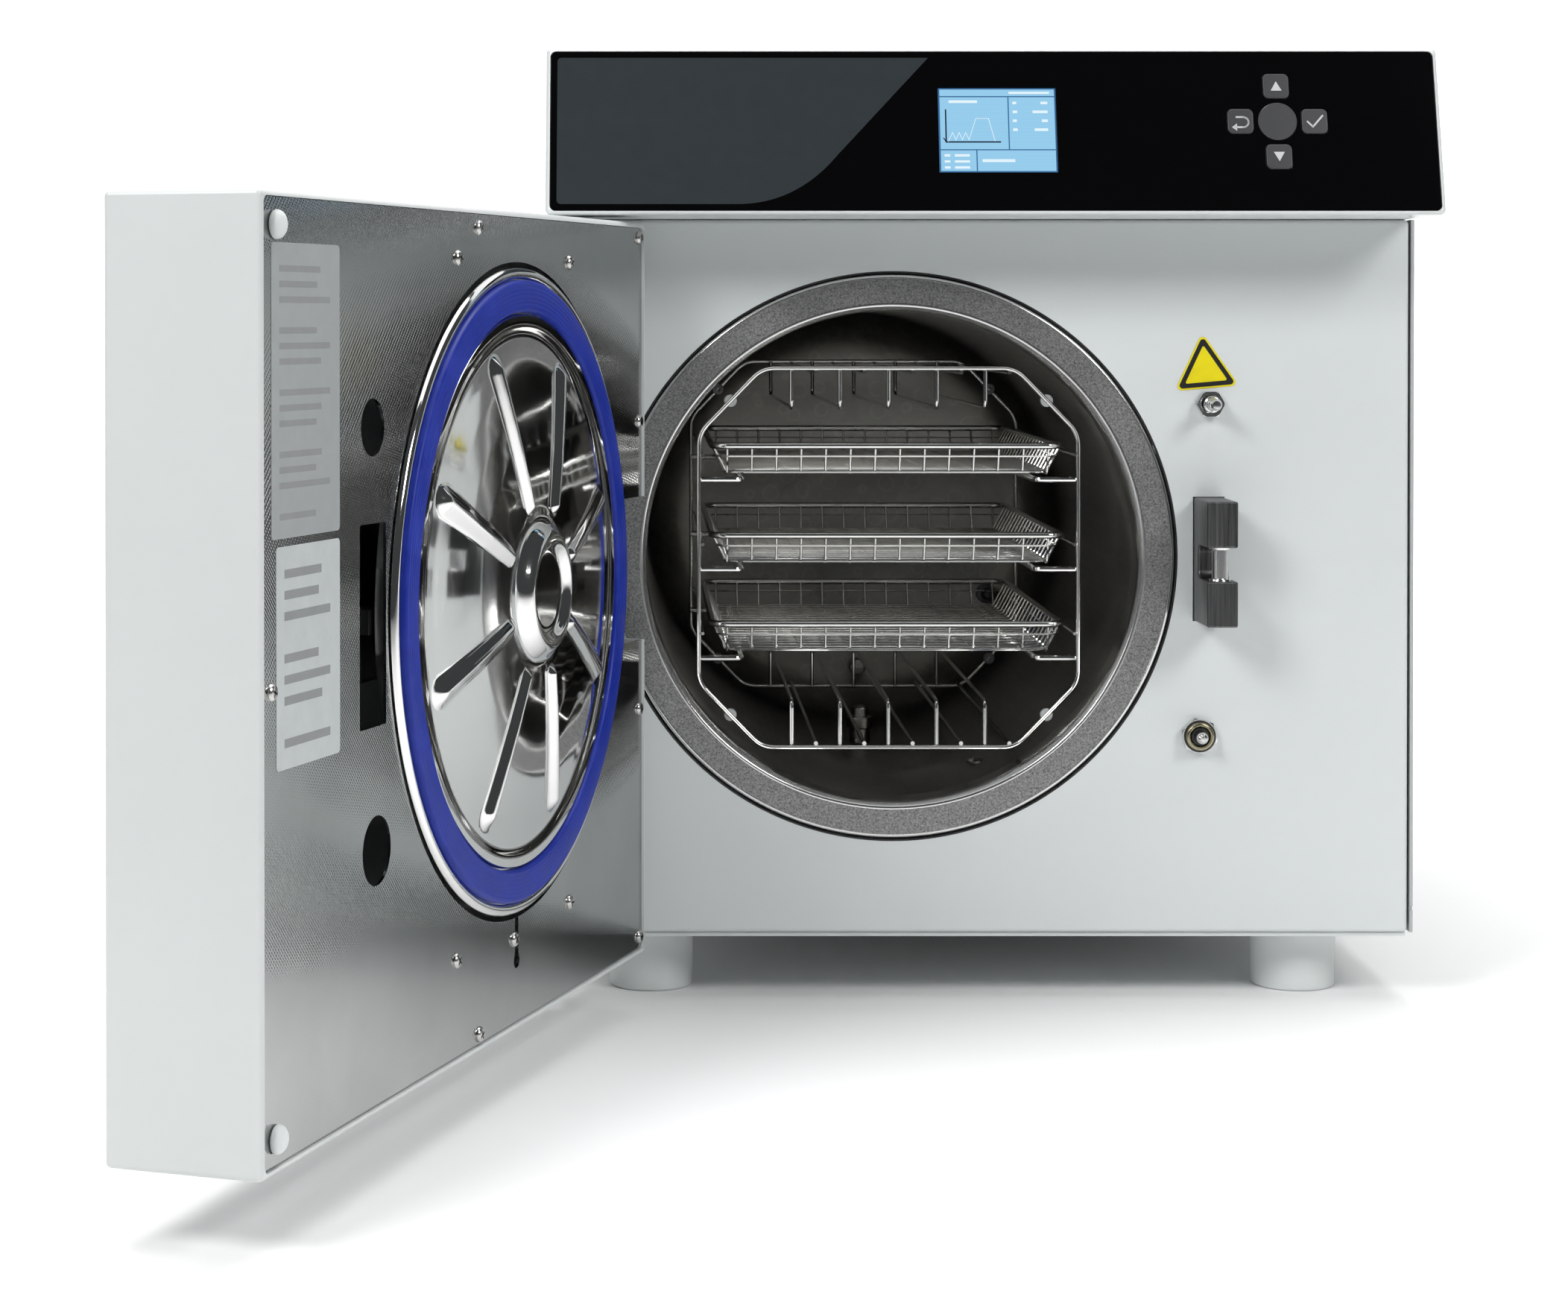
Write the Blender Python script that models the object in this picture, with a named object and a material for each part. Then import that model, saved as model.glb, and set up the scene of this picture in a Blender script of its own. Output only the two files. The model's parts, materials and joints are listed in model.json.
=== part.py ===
"""Benchtop steam autoclave: cabinet, hinged door with pressure lid, chamber, wire rack and three trays.

All sizes are millimetres in the cabinet's own frame: X across the front panel's centre line,
Y from the front panel's outer face into the machine, Z up from the bench.
"""
import math

import bmesh
import bpy
from mathutils import Vector

MM = 0.001
GAP = 0.3
ROUND = 40
ROUND_IN = 32

# cabinet
HALF_W = 220.0
FLOOR_Z = 33.0
JOIN_Z = 398.5
TOP_Z = 482.0
REAR_Y = 478.0
SHEET = 1.6
COVER_TOP_Z = 478.5

# console
CONSOLE_FRONT_Y = -65.0
CONSOLE_TOP_Y = -43.0
CONSOLE_BACK_Y = 60.0
CONSOLE_TILT = math.atan2(CONSOLE_TOP_Y - CONSOLE_FRONT_Y, TOP_Z - JOIN_Z)
CONSOLE_SLOPE = math.hypot(CONSOLE_TOP_Y - CONSOLE_FRONT_Y, TOP_Z - JOIN_Z)
SCREEN = (-26.8, 30.8, 22.0, 65.2)
KEY_X = 139.6
KEY_V = 48.0
KEY_PITCH = 18.2
KEY_SIZE = 12.7

# chamber
CH_X = -45.3
CH_Z = 227.0
PANEL_HOLE_R = 145.9

# hardware on the front panel
LATCH_X = (107.9, 123.2)
LATCH_MID = sum(LATCH_X) / 2
LATCH_Z = (194.5, 257.0)
LATCH_REACH = 39.0
NOTCH_Z = (217.2, 234.0)
LATCH_PIN_Y = -31.0
BOLT_X, BOLT_Z = 115.7, 304.6
SWITCH_X, SWITCH_Z = 110.4, 136.0

# door, built closed about its hinge axis: s along the width, n towards the cabinet
HINGE_X, HINGE_Y = -204.3, -35.0
DOOR_OPEN = 108.6
DOOR_S = (-15.7, 424.3)
DOOR_N = (-34.7, 30.0)
DOOR_Z = (31.5, 395.5)
DOOR_WALL = 2.5
LINER_N = (27.5, 28.7)
LID_S = CH_X - HINGE_X
FIRST_RIB = 25.5
RIB_R = (40.0, 105.0)
RIB_WIRE_R = 4.2
NOTCH_EDGE_Z = (188.0, 259.5)
SLOT_S = LATCH_MID - HINGE_X
WEDGE_S = (262.0, 306.0)

# rack and trays, centred on the rack
RACK_X, RACK_Z = -45.3, 224.3
RACK_Y = (25.0, 295.0)
RACK_HALF = 98.0
RACK_FLAT_X, RACK_FLAT_Z = 65.5, 64.5
FRAME_WIRE_R = 1.2
RAIL_WIRE_R = 1.1
RAIL_X = 76.0
RAIL_HEIGHTS = (40.4, -6.0, -52.0)
TRAY_DEPTH = 17.6
TRAY_Y = (3.2, 268.0)
TRAY_NAMES = ("tray_top", "tray_middle", "tray_bottom")
CROSS_WIRE_R = 1.25
LEG_INSET = 2.7
LEG_Z = (-60, 50)
GUIDE_WIRE_R = 1.05
GUIDE_X = (-50.0, -25.0, 0.0, 25.0, 50.0)
GUIDE_HALF = 62

# feet, services and the rear panel
FOOT_X = 168.0
FOOT_Y = {"front": 45.0, "rear": 440.0}
CAP_X, CAP_Y = -120.0, 380.0
FAN_X, FAN_Y, FAN_Z = 163.0, 465.0, 300.0
FAN_BLADES = 7
INLET_X, INLET_Z = 160.0, 84.0
ROCKER_Y, ROCKER_Z = 473.0, 128.0
ROCKER_TILT = math.radians(8)
DRAIN_X, DRAIN_Z = -165, 70
VALVE_Z = 420
VALVE_REACH = 14.0
REAR_HOLE_R = 9.0
BOARD_BLOCKS = ((90, 130, 200), (160, 210, 260), (230, 270, 330))
SOLENOID_Y = (138, 182)
FITTING_AT = (-47, 215)
PROBE_AT = (40, 178)


def frame_shift():
    """Distance from the cabinet frame to the middle of the whole machine's footprint, door open."""
    swing = math.radians(-DOOR_OPEN)
    corners = []
    for s in DOOR_S:
        for n in DOOR_N:
            x = HINGE_X + s * math.cos(swing) - n * math.sin(swing)
            y = HINGE_Y + s * math.sin(swing) + n * math.cos(swing)
            corners.append((x, y))
    left = min(x for x, _ in corners)
    front = min(y for _, y in corners)
    return Vector((-(left + HALF_W) / 2, -(front + REAR_Y + VALVE_REACH) / 2, 0.0))


for old in list(bpy.data.objects):
    bpy.data.objects.remove(old)

MATERIALS = {
    "white_paint": ((0.86, 0.87, 0.87, 1), 0.0, 0.35),
    "white_plastic": ((0.88, 0.88, 0.87, 1), 0.0, 0.3),
    "black_glass": ((0.01, 0.01, 0.012, 1), 0.0, 0.08),
    "screen": ((0.55, 0.75, 0.9, 1), 0.0, 0.2),
    "key_grey": ((0.12, 0.12, 0.13, 1), 0.0, 0.3),
    "stainless": ((0.55, 0.54, 0.52, 1), 1.0, 0.3),
    "polished": ((0.8, 0.8, 0.8, 1), 1.0, 0.06),
    "dark_steel": ((0.2, 0.2, 0.2, 1), 1.0, 0.35),
    "blue_silicone": ((0.02, 0.06, 0.5, 1), 0.0, 0.4),
    "black_rubber": ((0.02, 0.02, 0.02, 1), 0.0, 0.6),
    "felt": ((0.7, 0.68, 0.62, 1), 0.0, 0.9),
    "brass": ((0.7, 0.52, 0.25, 1), 1.0, 0.3),
    "galvanised": ((0.6, 0.62, 0.63, 1), 1.0, 0.4),
    "board_green": ((0.03, 0.2, 0.08, 1), 0.0, 0.5),
    "tank_plastic": ((0.75, 0.8, 0.82, 1), 0.0, 0.4),
    "black_plastic": ((0.03, 0.03, 0.03, 1), 0.0, 0.4),
}


def material(name):
    found = bpy.data.materials.get(name)
    if found:
        return found
    colour, metallic, roughness = MATERIALS[name]
    made = bpy.data.materials.new(name)
    made.use_nodes = True
    shader = made.node_tree.nodes["Principled BSDF"]
    shader.inputs["Base Color"].default_value = colour
    shader.inputs["Metallic"].default_value = metallic
    shader.inputs["Roughness"].default_value = roughness
    made.diffuse_color = colour
    return made


def empty(name, parent=None, at=(0, 0, 0), turn=(0, 0, 0)):
    made = bpy.data.objects.new(name, None)
    bpy.context.scene.collection.objects.link(made)
    made.parent = parent
    made.location = Vector(at) * MM
    made.rotation_euler = turn
    return made


def add(name, bm, parent, slot, smooth=False, at=(0, 0, 0)):
    """Turn a mesh drawn in millimetres in the parent's frame into an object with its origin at a point."""
    bmesh.ops.translate(bm, verts=bm.verts, vec=-Vector(at))
    bmesh.ops.scale(bm, verts=bm.verts, vec=(MM, MM, MM))
    bmesh.ops.recalc_face_normals(bm, faces=bm.faces)
    mesh = bpy.data.meshes.new(name)
    bm.to_mesh(mesh)
    bm.free()
    made = bpy.data.objects.new(name, mesh)
    bpy.context.scene.collection.objects.link(made)
    made.parent = parent
    made.location = Vector(at) * MM
    if slot:
        mesh.materials.append(material(slot))
    if smooth:
        mesh.shade_smooth()
    return made


def boolean(target, tool, operation="DIFFERENCE"):
    step = target.modifiers.new(tool.name, "BOOLEAN")
    step.operation = operation
    step.solver = "EXACT"
    step.object = tool
    tool.hide_render = True
    tool.display_type = "WIRE"
    return target


def cut(target, bm, parent):
    return boolean(target, add("cut_" + target.name, bm, parent, None))


def join(target, bm, parent):
    return boolean(target, add("join_" + target.name, bm, parent, None), "UNION")


def bevel(target, width, segments=2):
    step = target.modifiers.new("edge_round", "BEVEL")
    step.width = width * MM
    step.segments = segments
    step.limit_method = "ANGLE"
    step.angle_limit = math.radians(40)
    return target


def box(x, y, z):
    bm = bmesh.new()
    corners = [bm.verts.new((a, b, c)) for c in z for b in y for a in x]
    for ids in ((0, 2, 3, 1), (4, 5, 7, 6), (0, 1, 5, 4), (1, 3, 7, 5), (3, 2, 6, 7), (2, 0, 4, 6)):
        bm.faces.new([corners[i] for i in ids])
    return bm


def prism(outline, axis, ends):
    """A flat outline pushed along an axis; the outline's two numbers are the other two axes in order."""
    bm = bmesh.new()
    rings = []
    for end in ends:
        ring = []
        for a, b in outline:
            point = [a, b]
            point.insert("XYZ".index(axis), end)
            ring.append(bm.verts.new(point))
        rings.append(ring)
    bm.faces.new(rings[0])
    bm.faces.new(rings[1])
    count = len(outline)
    for i in range(count):
        j = (i + 1) % count
        bm.faces.new((rings[0][i], rings[0][j], rings[1][j], rings[1][i]))
    return bm


def rounded(half_a, half_b, radius, steps=4, centre=(0, 0)):
    """Outline of a rectangle with round corners."""
    outline = []
    for quarter, (sa, sb) in enumerate(((1, 1), (-1, 1), (-1, -1), (1, -1))):
        for i in range(steps + 1):
            turn = math.radians(90 * quarter + 90 * i / steps)
            outline.append((
                centre[0] + sa * (half_a - radius) + radius * math.cos(turn),
                centre[1] + sb * (half_b - radius) + radius * math.sin(turn),
            ))
    return outline


def circle(radius, count, centre=(0, 0), turn=0.0):
    return [
        (centre[0] + radius * math.cos(turn + math.tau * i / count),
         centre[1] + radius * math.sin(turn + math.tau * i / count))
        for i in range(count)
    ]


def lathe(profile, axis, centre, segments):
    """Turn a profile of (radius, along) pairs about an axis; a radius of zero closes it at the axis."""
    bm = bmesh.new()
    third = "XYZ".index(axis)
    rings = []
    for radius, along in profile:
        ring = []
        for i in range(1 if radius == 0 else segments):
            angle = math.tau * i / segments
            pair = [centre[0] + radius * math.cos(angle), centre[1] + radius * math.sin(angle)]
            pair.insert(third, along)
            ring.append(bm.verts.new(pair))
        rings.append(ring)
    solid = profile[0][0] == 0
    spans = list(zip(rings, rings[1:]))
    if not solid:
        spans.append((rings[-1], rings[0]))
    for low, high in spans:
        for i in range(segments):
            j = (i + 1) % segments
            quad = [low[i % len(low)], low[j % len(low)], high[j % len(high)], high[i % len(high)]]
            face = [v for k, v in enumerate(quad) if v not in quad[:k]]
            bm.faces.new(face)
    return bm


def rod(radius, axis, centre, ends, segments=20):
    return prism(circle(radius, segments, centre), axis, ends)


def wire(path, radius, sides=8, closed=False):
    """A round wire along straight runs with mitred corners."""
    bm = bmesh.new()
    points = [Vector(p) for p in path]
    count = len(points)
    runs = [(points[(i + 1) % count] - points[i]).normalized() for i in range(count)]
    planes = []
    for i in range(count):
        before = runs[i - 1] if closed or i > 0 else runs[0]
        after = runs[i] if closed or i < count - 1 else runs[i - 1]
        planes.append((before + after).normalized())
    along = runs[0]
    side = along.cross(Vector((0.31, 0.17, 0.93))).normalized()
    up = along.cross(side)
    ring = []
    for k in range(sides):
        angle = math.tau * (k + 0.5) / sides
        spot = points[0] + radius * (side * math.cos(angle) + up * math.sin(angle))
        spot += along * ((points[0] - spot).dot(planes[0]) / along.dot(planes[0]))
        ring.append(spot)
    rings = [[bm.verts.new(v) for v in ring]]
    for i in range(1, count):
        along = runs[i - 1]
        ring = [v + along * ((points[i] - v).dot(planes[i]) / along.dot(planes[i])) for v in ring]
        rings.append([bm.verts.new(v) for v in ring])
    pairs = list(zip(rings, rings[1:]))
    if closed:
        pairs.append((rings[-1], rings[0]))
    else:
        bm.faces.new(rings[0])
        bm.faces.new(rings[-1])
    for low, high in pairs:
        for k in range(sides):
            m = (k + 1) % sides
            bm.faces.new((low[k], low[m], high[m], high[k]))
    return bm


def hexagon(across_flats, centre, turn=0.0):
    return circle(across_flats / 2 / math.cos(math.radians(30)), 6, centre, math.radians(30) + turn)


root = empty("autoclave", at=frame_shift())

# ---------------------------------------------------------------- cabinet sheet metal
base = add("base_plate", box((-216.5, 216.5), (2.6, 475.5), (FLOOR_Z, FLOOR_Z + 2)), root, "white_paint")

panel = add("front_panel", box((-217.2, 217.2), (0, 14), (FLOOR_Z + 2.3, JOIN_Z - GAP)), root, "white_paint")
bevel(panel, 2.2, 2)
cut(panel, box((-215.6, 215.6), (SHEET, 20), (FLOOR_Z + 3.9, JOIN_Z - 1.9)), root)
cut(panel, rod(PANEL_HOLE_R, "Y", (CH_X, CH_Z), (-5, 8), ROUND), root)
latch_hole = box((LATCH_X[0] - 0.4, LATCH_X[1] + 0.4), (-5, 8), (LATCH_Z[0] - 0.4, LATCH_Z[1] + 0.4))
cut(panel, latch_hole, root)
cut(panel, rod(4.8, "Y", (BOLT_X, BOLT_Z), (-5, 8), 16), root)
cut(panel, rod(8.0, "Y", (SWITCH_X, SWITCH_Z), (-5, 8), 20), root)


def cover_outline(half, top, radius):
    """Inverted-U section of the outer cover, open at the bottom."""
    arc = []
    for a in range(0, 91, 18):
        turn = math.radians(a)
        arc.append((half - radius + radius * math.sin(turn), top - radius + radius * math.cos(turn)))
    return [(-a, b) for a, b in reversed(arc)] + arc


inner = cover_outline(HALF_W - SHEET, COVER_TOP_Z - SHEET, 3.0)
outer = cover_outline(HALF_W, COVER_TOP_Z, 4.6)
low_z = FLOOR_Z + 2.3
section = [(-HALF_W, low_z)] + outer + [(HALF_W, low_z), (HALF_W - SHEET, low_z)]
section += list(reversed(inner)) + [(-HALF_W + SHEET, low_z)]
cover = add("outer_cover", prism(section, "Y", (0.8, REAR_Y - GAP)), root, "white_paint")
cut(cover, box((-230, 230), (-5, CONSOLE_BACK_Y + GAP), (JOIN_Z - GAP, 500)), root)
cut(cover, rod(31.0, "Z", (CAP_X, CAP_Y), (460, 500), 24), root)

rear = add("rear_panel", box((-217.2, 217.2), (476.1, REAR_Y), (FLOOR_Z + 2.3, 475.7)), root, "galvanised")
cut(rear, rod(42.0, "Y", (FAN_X, FAN_Z), (470, 485), 28), root)
cut(rear, box((INLET_X - 14.2, INLET_X + 14.2), (470, 485), (INLET_Z - 10.2, ROCKER_Z + 14.2)), root)
cut(rear, rod(REAR_HOLE_R, "Y", (DRAIN_X, DRAIN_Z), (470, 485), 20), root)
cut(rear, rod(REAR_HOLE_R, "Y", (CH_X, VALVE_Z), (470, 485), 20), root)

foot_profile = [
    (0, 0.0), (19.5, 0.0), (21.4, 0.7), (22, 2.4), (22, 31), (21, FLOOR_Z - GAP), (0, FLOOR_Z - GAP),
]
for side, x in (("left", -FOOT_X), ("right", FOOT_X)):
    for end, y in FOOT_Y.items():
        add(f"foot_{end}_{side}", lathe(foot_profile, "Z", (x, y), 20), root, "white_plastic", smooth=True)

# ---------------------------------------------------------------- console
console_side = [
    (CONSOLE_FRONT_Y, JOIN_Z),
    (CONSOLE_TOP_Y, TOP_Z),
    (CONSOLE_BACK_Y, TOP_Z),
    (CONSOLE_BACK_Y, JOIN_Z),
]
console = add("console_shell", prism(console_side, "X", (-HALF_W, HALF_W)), root, "white_plastic")
bevel(console, 2.6, 2)
hollow = [
    (CONSOLE_FRONT_Y + 12.5, JOIN_Z + 3),
    (CONSOLE_TOP_Y + 10.0, TOP_Z - 3),
    (CONSOLE_BACK_Y + 20, TOP_Z - 3),
    (CONSOLE_BACK_Y + 20, JOIN_Z + 3),
]
cut(console, prism(hollow, "X", (-217, 217)), root)
slope = empty("console_slope", root, (0, CONSOLE_FRONT_Y, JOIN_Z), (-CONSOLE_TILT, 0, 0))
glass_v = (2.3, CONSOLE_SLOPE - 2.3)
mid_v = sum(glass_v) / 2
half_v = (glass_v[1] - glass_v[0]) / 2
cut(console, prism(rounded(217.9, half_v + 0.3, 2.4, 3, (0, mid_v)), "Y", (-5, 4.0)), slope)
cut(console, box((-211, 211), (-5, 30), (9.0, CONSOLE_SLOPE - 12.0)), slope)

glass_outline = rounded(217.6, half_v, 2.1, 3, (0, mid_v))
glass = add("console_glass", prism(glass_outline, "Y", (0.5, 3.7)), slope, "black_glass")
cut(glass, box((SCREEN[0] - GAP, SCREEN[1] + GAP), (-5, 8), (SCREEN[2] - GAP, SCREEN[3] + GAP)), slope)
add("display_screen", box((SCREEN[0], SCREEN[1]), (0.7, 6.0), (SCREEN[2], SCREEN[3])), slope, "screen")
KEYS = {
    "key_back": (KEY_X - KEY_PITCH, KEY_V),
    "key_enter": (KEY_X + KEY_PITCH, KEY_V),
    "key_up": (KEY_X, KEY_V + KEY_PITCH),
    "key_down": (KEY_X, KEY_V - KEY_PITCH),
}
for name, spot in KEYS.items():
    half = KEY_SIZE / 2
    cut(glass, prism(rounded(half + GAP, half + GAP, 2.6, 3, spot), "Y", (-5, 8)), slope)
    outline = rounded(half, half, 2.4, 3, spot)
    add(name, prism(outline, "Y", (0.1, 4.2)), slope, "key_grey", at=(spot[0], 0.1, spot[1]))

# ---------------------------------------------------------------- chamber
vessel_profile = [
    (0, 365), (60, 362), (110, 352), (128, 331), (128, 20.3),
    (125, 20.3), (125, 329), (106.5, 348.5), (58, 358.5), (0, 361),
]
add("chamber_vessel", lathe(vessel_profile, "Y", (CH_X, CH_Z), ROUND_IN), root, "stainless", smooth=True)
flange_profile = [
    (125, 20), (125, 3.4), (128.2, -1), (141.3, -1), (143.5, 1.2), (143.5, 6), (140, 8), (140, 20),
]
add("chamber_flange", lathe(flange_profile, "Y", (CH_X, CH_Z), ROUND), root, "stainless", smooth=True)
trim_profile = [(143.8, -0.5), (145.5, -0.5), (145.5, 2.6), (143.8, 2.6)]
add("flange_trim_ring", lathe(trim_profile, "Y", (CH_X, CH_Z), ROUND), root, "black_rubber", smooth=True)
band_profile = [(128.3, 90), (131, 90), (131, 270), (128.3, 270)]
add("heater_band", lathe(band_profile, "Y", (CH_X, CH_Z), ROUND_IN), root, "black_rubber", smooth=True)
jacket_profile = [(131.4, 50), (150, 50), (150, 325), (131.4, 325)]
add("insulation_jacket", lathe(jacket_profile, "Y", (CH_X, CH_Z), ROUND_IN), root, "felt", smooth=True)
fitting = [(0, 102.9), (6, 102.9), (6, 112), (7.5, 112.4), (7.5, 118), (5, 121), (5, 124.5), (0, 124.5)]
add("steam_fitting", lathe(fitting, "Z", FITTING_AT, 16), root, "polished", smooth=True)
probe = [(0, 329), (3, 329), (3, 341), (6, 341.3), (6, 347.5), (0, 347.5)]
add("temperature_probe", lathe(probe, "Y", PROBE_AT, 16), root, "dark_steel", smooth=True)

# ---------------------------------------------------------------- latch and sensors on the front
block = add("latch_block", box(LATCH_X, (-LATCH_REACH, 12), LATCH_Z), root, "dark_steel")
bevel(block, 1.2, 2)
cut(block, box((100, 130), (-50, -13), NOTCH_Z), root)
cut(block, rod(4.05, "Z", (LATCH_MID, LATCH_PIN_Y), (NOTCH_Z[0] - 8, NOTCH_Z[1] + 8), 24), root)
pin_ends = (NOTCH_Z[0] - 7.7, NOTCH_Z[1] + 7.7)
add("latch_pin", rod(4.0, "Z", (LATCH_MID, LATCH_PIN_Y), pin_ends, 24), root, "polished", smooth=False)
bolt_nut = add("lock_bolt_nut", prism(hexagon(13.6, (BOLT_X, BOLT_Z)), "Y", (-5.3, -GAP)), root, "polished")
cut(bolt_nut, rod(4.7, "Y", (BOLT_X, BOLT_Z), (-10, 5), 20), root)
bolt_profile = [
    (0, -21.5), (1.6, -21.2), (2.8, -19.8), (3.15, -17.5), (3.15, -10), (4.35, -9.6), (4.35, 40), (0, 40),
]
add("lock_bolt", lathe(bolt_profile, "Y", (BOLT_X, BOLT_Z), 14), root, "polished", smooth=True,
    at=(BOLT_X, 0, BOLT_Z))
nut_outline = hexagon(17, (SWITCH_X, SWITCH_Z), 0.2)
switch_nut = add("switch_nut", prism(nut_outline, "Y", (-4.8, -GAP)), root, "polished")
cut(switch_nut, rod(7.6, "Y", (SWITCH_X, SWITCH_Z), (-10, 5), 16), root)
bush = [(3.4, -7.4), (6.6, -7.4), (7.25, -6.6), (7.25, 30), (3.4, 30)]
add("switch_bush", lathe(bush, "Y", (SWITCH_X, SWITCH_Z), 16), root, "brass", smooth=True)
plunger = [(0, -15.4), (1.4, -15.3), (2.6, -14.2), (3.05, -12.6), (3.05, 36), (0, 36)]
add("switch_plunger", lathe(plunger, "Y", (SWITCH_X, SWITCH_Z), 14), root, "polished", smooth=True,
    at=(SWITCH_X, 0, SWITCH_Z))

# ---------------------------------------------------------------- hinge hardware on the cabinet
plate_z = (DOOR_Z[0] - GAP - 3.8, DOOR_Z[0] - GAP)
lower = add("hinge_bracket_lower", box((-216, -192), (-49, 40), plate_z), root, "stainless")
join(lower, rod(3.9, "Z", (HINGE_X, HINGE_Y), (DOOR_Z[0] - 2, DOOR_Z[0] + 16), 20), root)
upper = [
    (0, DOOR_Z[1] - 15), (3.9, DOOR_Z[1] - 15), (3.9, DOOR_Z[1] + 0.4), (8, DOOR_Z[1] + 0.4),
    (8, JOIN_Z - GAP), (0, JOIN_Z - GAP),
]
add("hinge_pin_upper", lathe(upper, "Z", (HINGE_X, HINGE_Y), 20), root, "stainless", smooth=True)

# ---------------------------------------------------------------- services inside the cabinet
tank = add("water_reservoir", box((-205, 20), (110, 440), (382, 462)), root, "tank_plastic")
bevel(tank, 4, 2)
join(tank, rod(27, "Z", (CAP_X, CAP_Y), (450, 473), 24), root)
cut(tank, box((-202.5, 17.5), (112.5, 437.5), (384.5, 459.5)), root)
cut(tank, rod(24.5, "Z", (CAP_X, CAP_Y), (455, 480), 24), root)
cap = [(0, 464), (23.8, 464), (23.8, 473.4), (30, 473.4), (30, 479.8), (28, TOP_Z), (0, TOP_Z)]
add("fill_cap", lathe(cap, "Z", (CAP_X, CAP_Y), 24), root, "black_plastic", smooth=True,
    at=(CAP_X, CAP_Y, 464))

pump = add("vacuum_pump", box((126, 206), (330, 440), (FLOOR_Z + 2.3, 110)), root, "galvanised")
bevel(pump, 4, 2)
join(pump, rod(30, "Y", (166, 92), (250, 350), 24), root)
valves = add("solenoid_block", box((128, 200), (120, 200), (FLOOR_Z + 2.3, 70)), root, "brass")
for y in SOLENOID_Y:
    join(valves, rod(13, "Z", (164, y), (60, 110), 20), root)
board = add("control_board", box((206, 208), (70, 300), (150, 380)), root, "board_green")
for low, high, z in BOARD_BLOCKS:
    join(board, box((190, 207), (low, high), (z, z + 30)), root)
fan_box = box((FAN_X - 46, FAN_X + 46), (450, 475.8), (FAN_Z - 46, FAN_Z + 46))
fan = add("fan_frame", fan_box, root, "black_plastic")
bevel(fan, 4, 2)
cut(fan, rod(43.0, "Y", (FAN_X, FAN_Z), (445, 480), 28), root)
for angle in (45, 135):
    direction = Vector((math.cos(math.radians(angle)), 0, math.sin(math.radians(angle))))
    middle = Vector((FAN_X, 453.0, FAN_Z))
    join(fan, wire([middle - direction * 44.5, middle + direction * 44.5], 2.0, 6), root)
hub_profile = [(0, 456.5), (19, 456.5), (19, 473), (0, 473)]
rotor = add("fan_rotor", lathe(hub_profile, "Y", (FAN_X, FAN_Z), 16), root, "black_plastic",
            at=(FAN_X, FAN_Y, FAN_Z))
for i in range(FAN_BLADES):
    turn = math.tau * i / FAN_BLADES
    outward = Vector((math.cos(turn), 0, math.sin(turn)))
    across = Vector((-math.sin(turn), 0, math.cos(turn)))
    bm = bmesh.new()
    quads = []
    for reach, twist in ((15.0, 8.0), (41.0, 5.5)):
        middle = Vector((FAN_X, FAN_Y, FAN_Z)) + outward * reach
        skew = (across * 8.0 + Vector((0, twist, 0)), across * 1.0 + Vector((0, -0.9, 0)))
        quads.append([
            bm.verts.new(middle + skew[0] + skew[1]), bm.verts.new(middle - skew[0] + skew[1]),
            bm.verts.new(middle - skew[0] - skew[1]), bm.verts.new(middle + skew[0] - skew[1]),
        ])
    bm.faces.new(quads[0])
    bm.faces.new(quads[1])
    for k in range(4):
        m = (k + 1) % 4
        bm.faces.new((quads[0][k], quads[0][m], quads[1][m], quads[1][k]))
    join(rotor, bm, root)

ENTRY_Z = (INLET_Z - 13.0, ROCKER_Z + 17.0)
entry_mid, entry_half = sum(ENTRY_Z) / 2, (ENTRY_Z[1] - ENTRY_Z[0]) / 2
entry_outline = rounded(19, entry_half, 2, 2, (INLET_X, entry_mid))
entry = add("power_entry", prism(entry_outline, "Y", (REAR_Y + GAP, REAR_Y + 3)), root, "black_plastic")
body_z = (INLET_Z - 9.9, ROCKER_Z + 13.9)
join(entry, box((INLET_X - 13.9, INLET_X + 13.9), (452, REAR_Y + 1), body_z), root)
cut(entry, box((INLET_X - 12, INLET_X + 12), (462, 490), (INLET_Z - 8, INLET_Z + 8)), root)
cut(entry, box((INLET_X - 8.8, INLET_X + 8.8), (463, 490), (ROCKER_Z - 11.8, ROCKER_Z + 11.8)), root)
for x, z in ((-6.5, -2), (6.5, -2), (0, 2.5)):
    blade = box((INLET_X + x - 1, INLET_X + x + 1), (458, 476), (INLET_Z + z - 2.5, INLET_Z + z + 2.5))
    join(entry, blade, root)
rocker_side = []
for depth, height in ((-5, -8.5), (-5, 8.5), (8.6, 10.2), (5.6, 0), (8.6, -10.2)):
    rocker_side.append((
        ROCKER_Y + depth * math.cos(ROCKER_TILT) - height * math.sin(ROCKER_TILT),
        ROCKER_Z + depth * math.sin(ROCKER_TILT) + height * math.cos(ROCKER_TILT),
    ))
add("power_rocker", prism(rocker_side, "X", (INLET_X - 8.4, INLET_X + 8.4)), root, "black_plastic",
    at=(INLET_X, ROCKER_Y, ROCKER_Z))
outlet = [
    (0, 455), (7, 455), (7, REAR_Y + GAP), (11, REAR_Y + GAP), (11, REAR_Y + 4), (5, REAR_Y + 4),
    (5, REAR_Y + 8), (6, REAR_Y + 9), (4.4, REAR_Y + 14), (2.8, REAR_Y + 14), (2.8, 470), (0, 470),
]
add("drain_outlet", lathe(outlet, "Y", (DRAIN_X, DRAIN_Z), 14), root, "brass", smooth=True)
valve = [
    (0, 440), (8, 440), (8, REAR_Y + GAP), (12, REAR_Y + GAP), (12, REAR_Y + 5), (9, REAR_Y + 6),
    (9, REAR_Y + 12), (7, REAR_Y + 13.5), (0, REAR_Y + 13.5),
]
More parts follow.
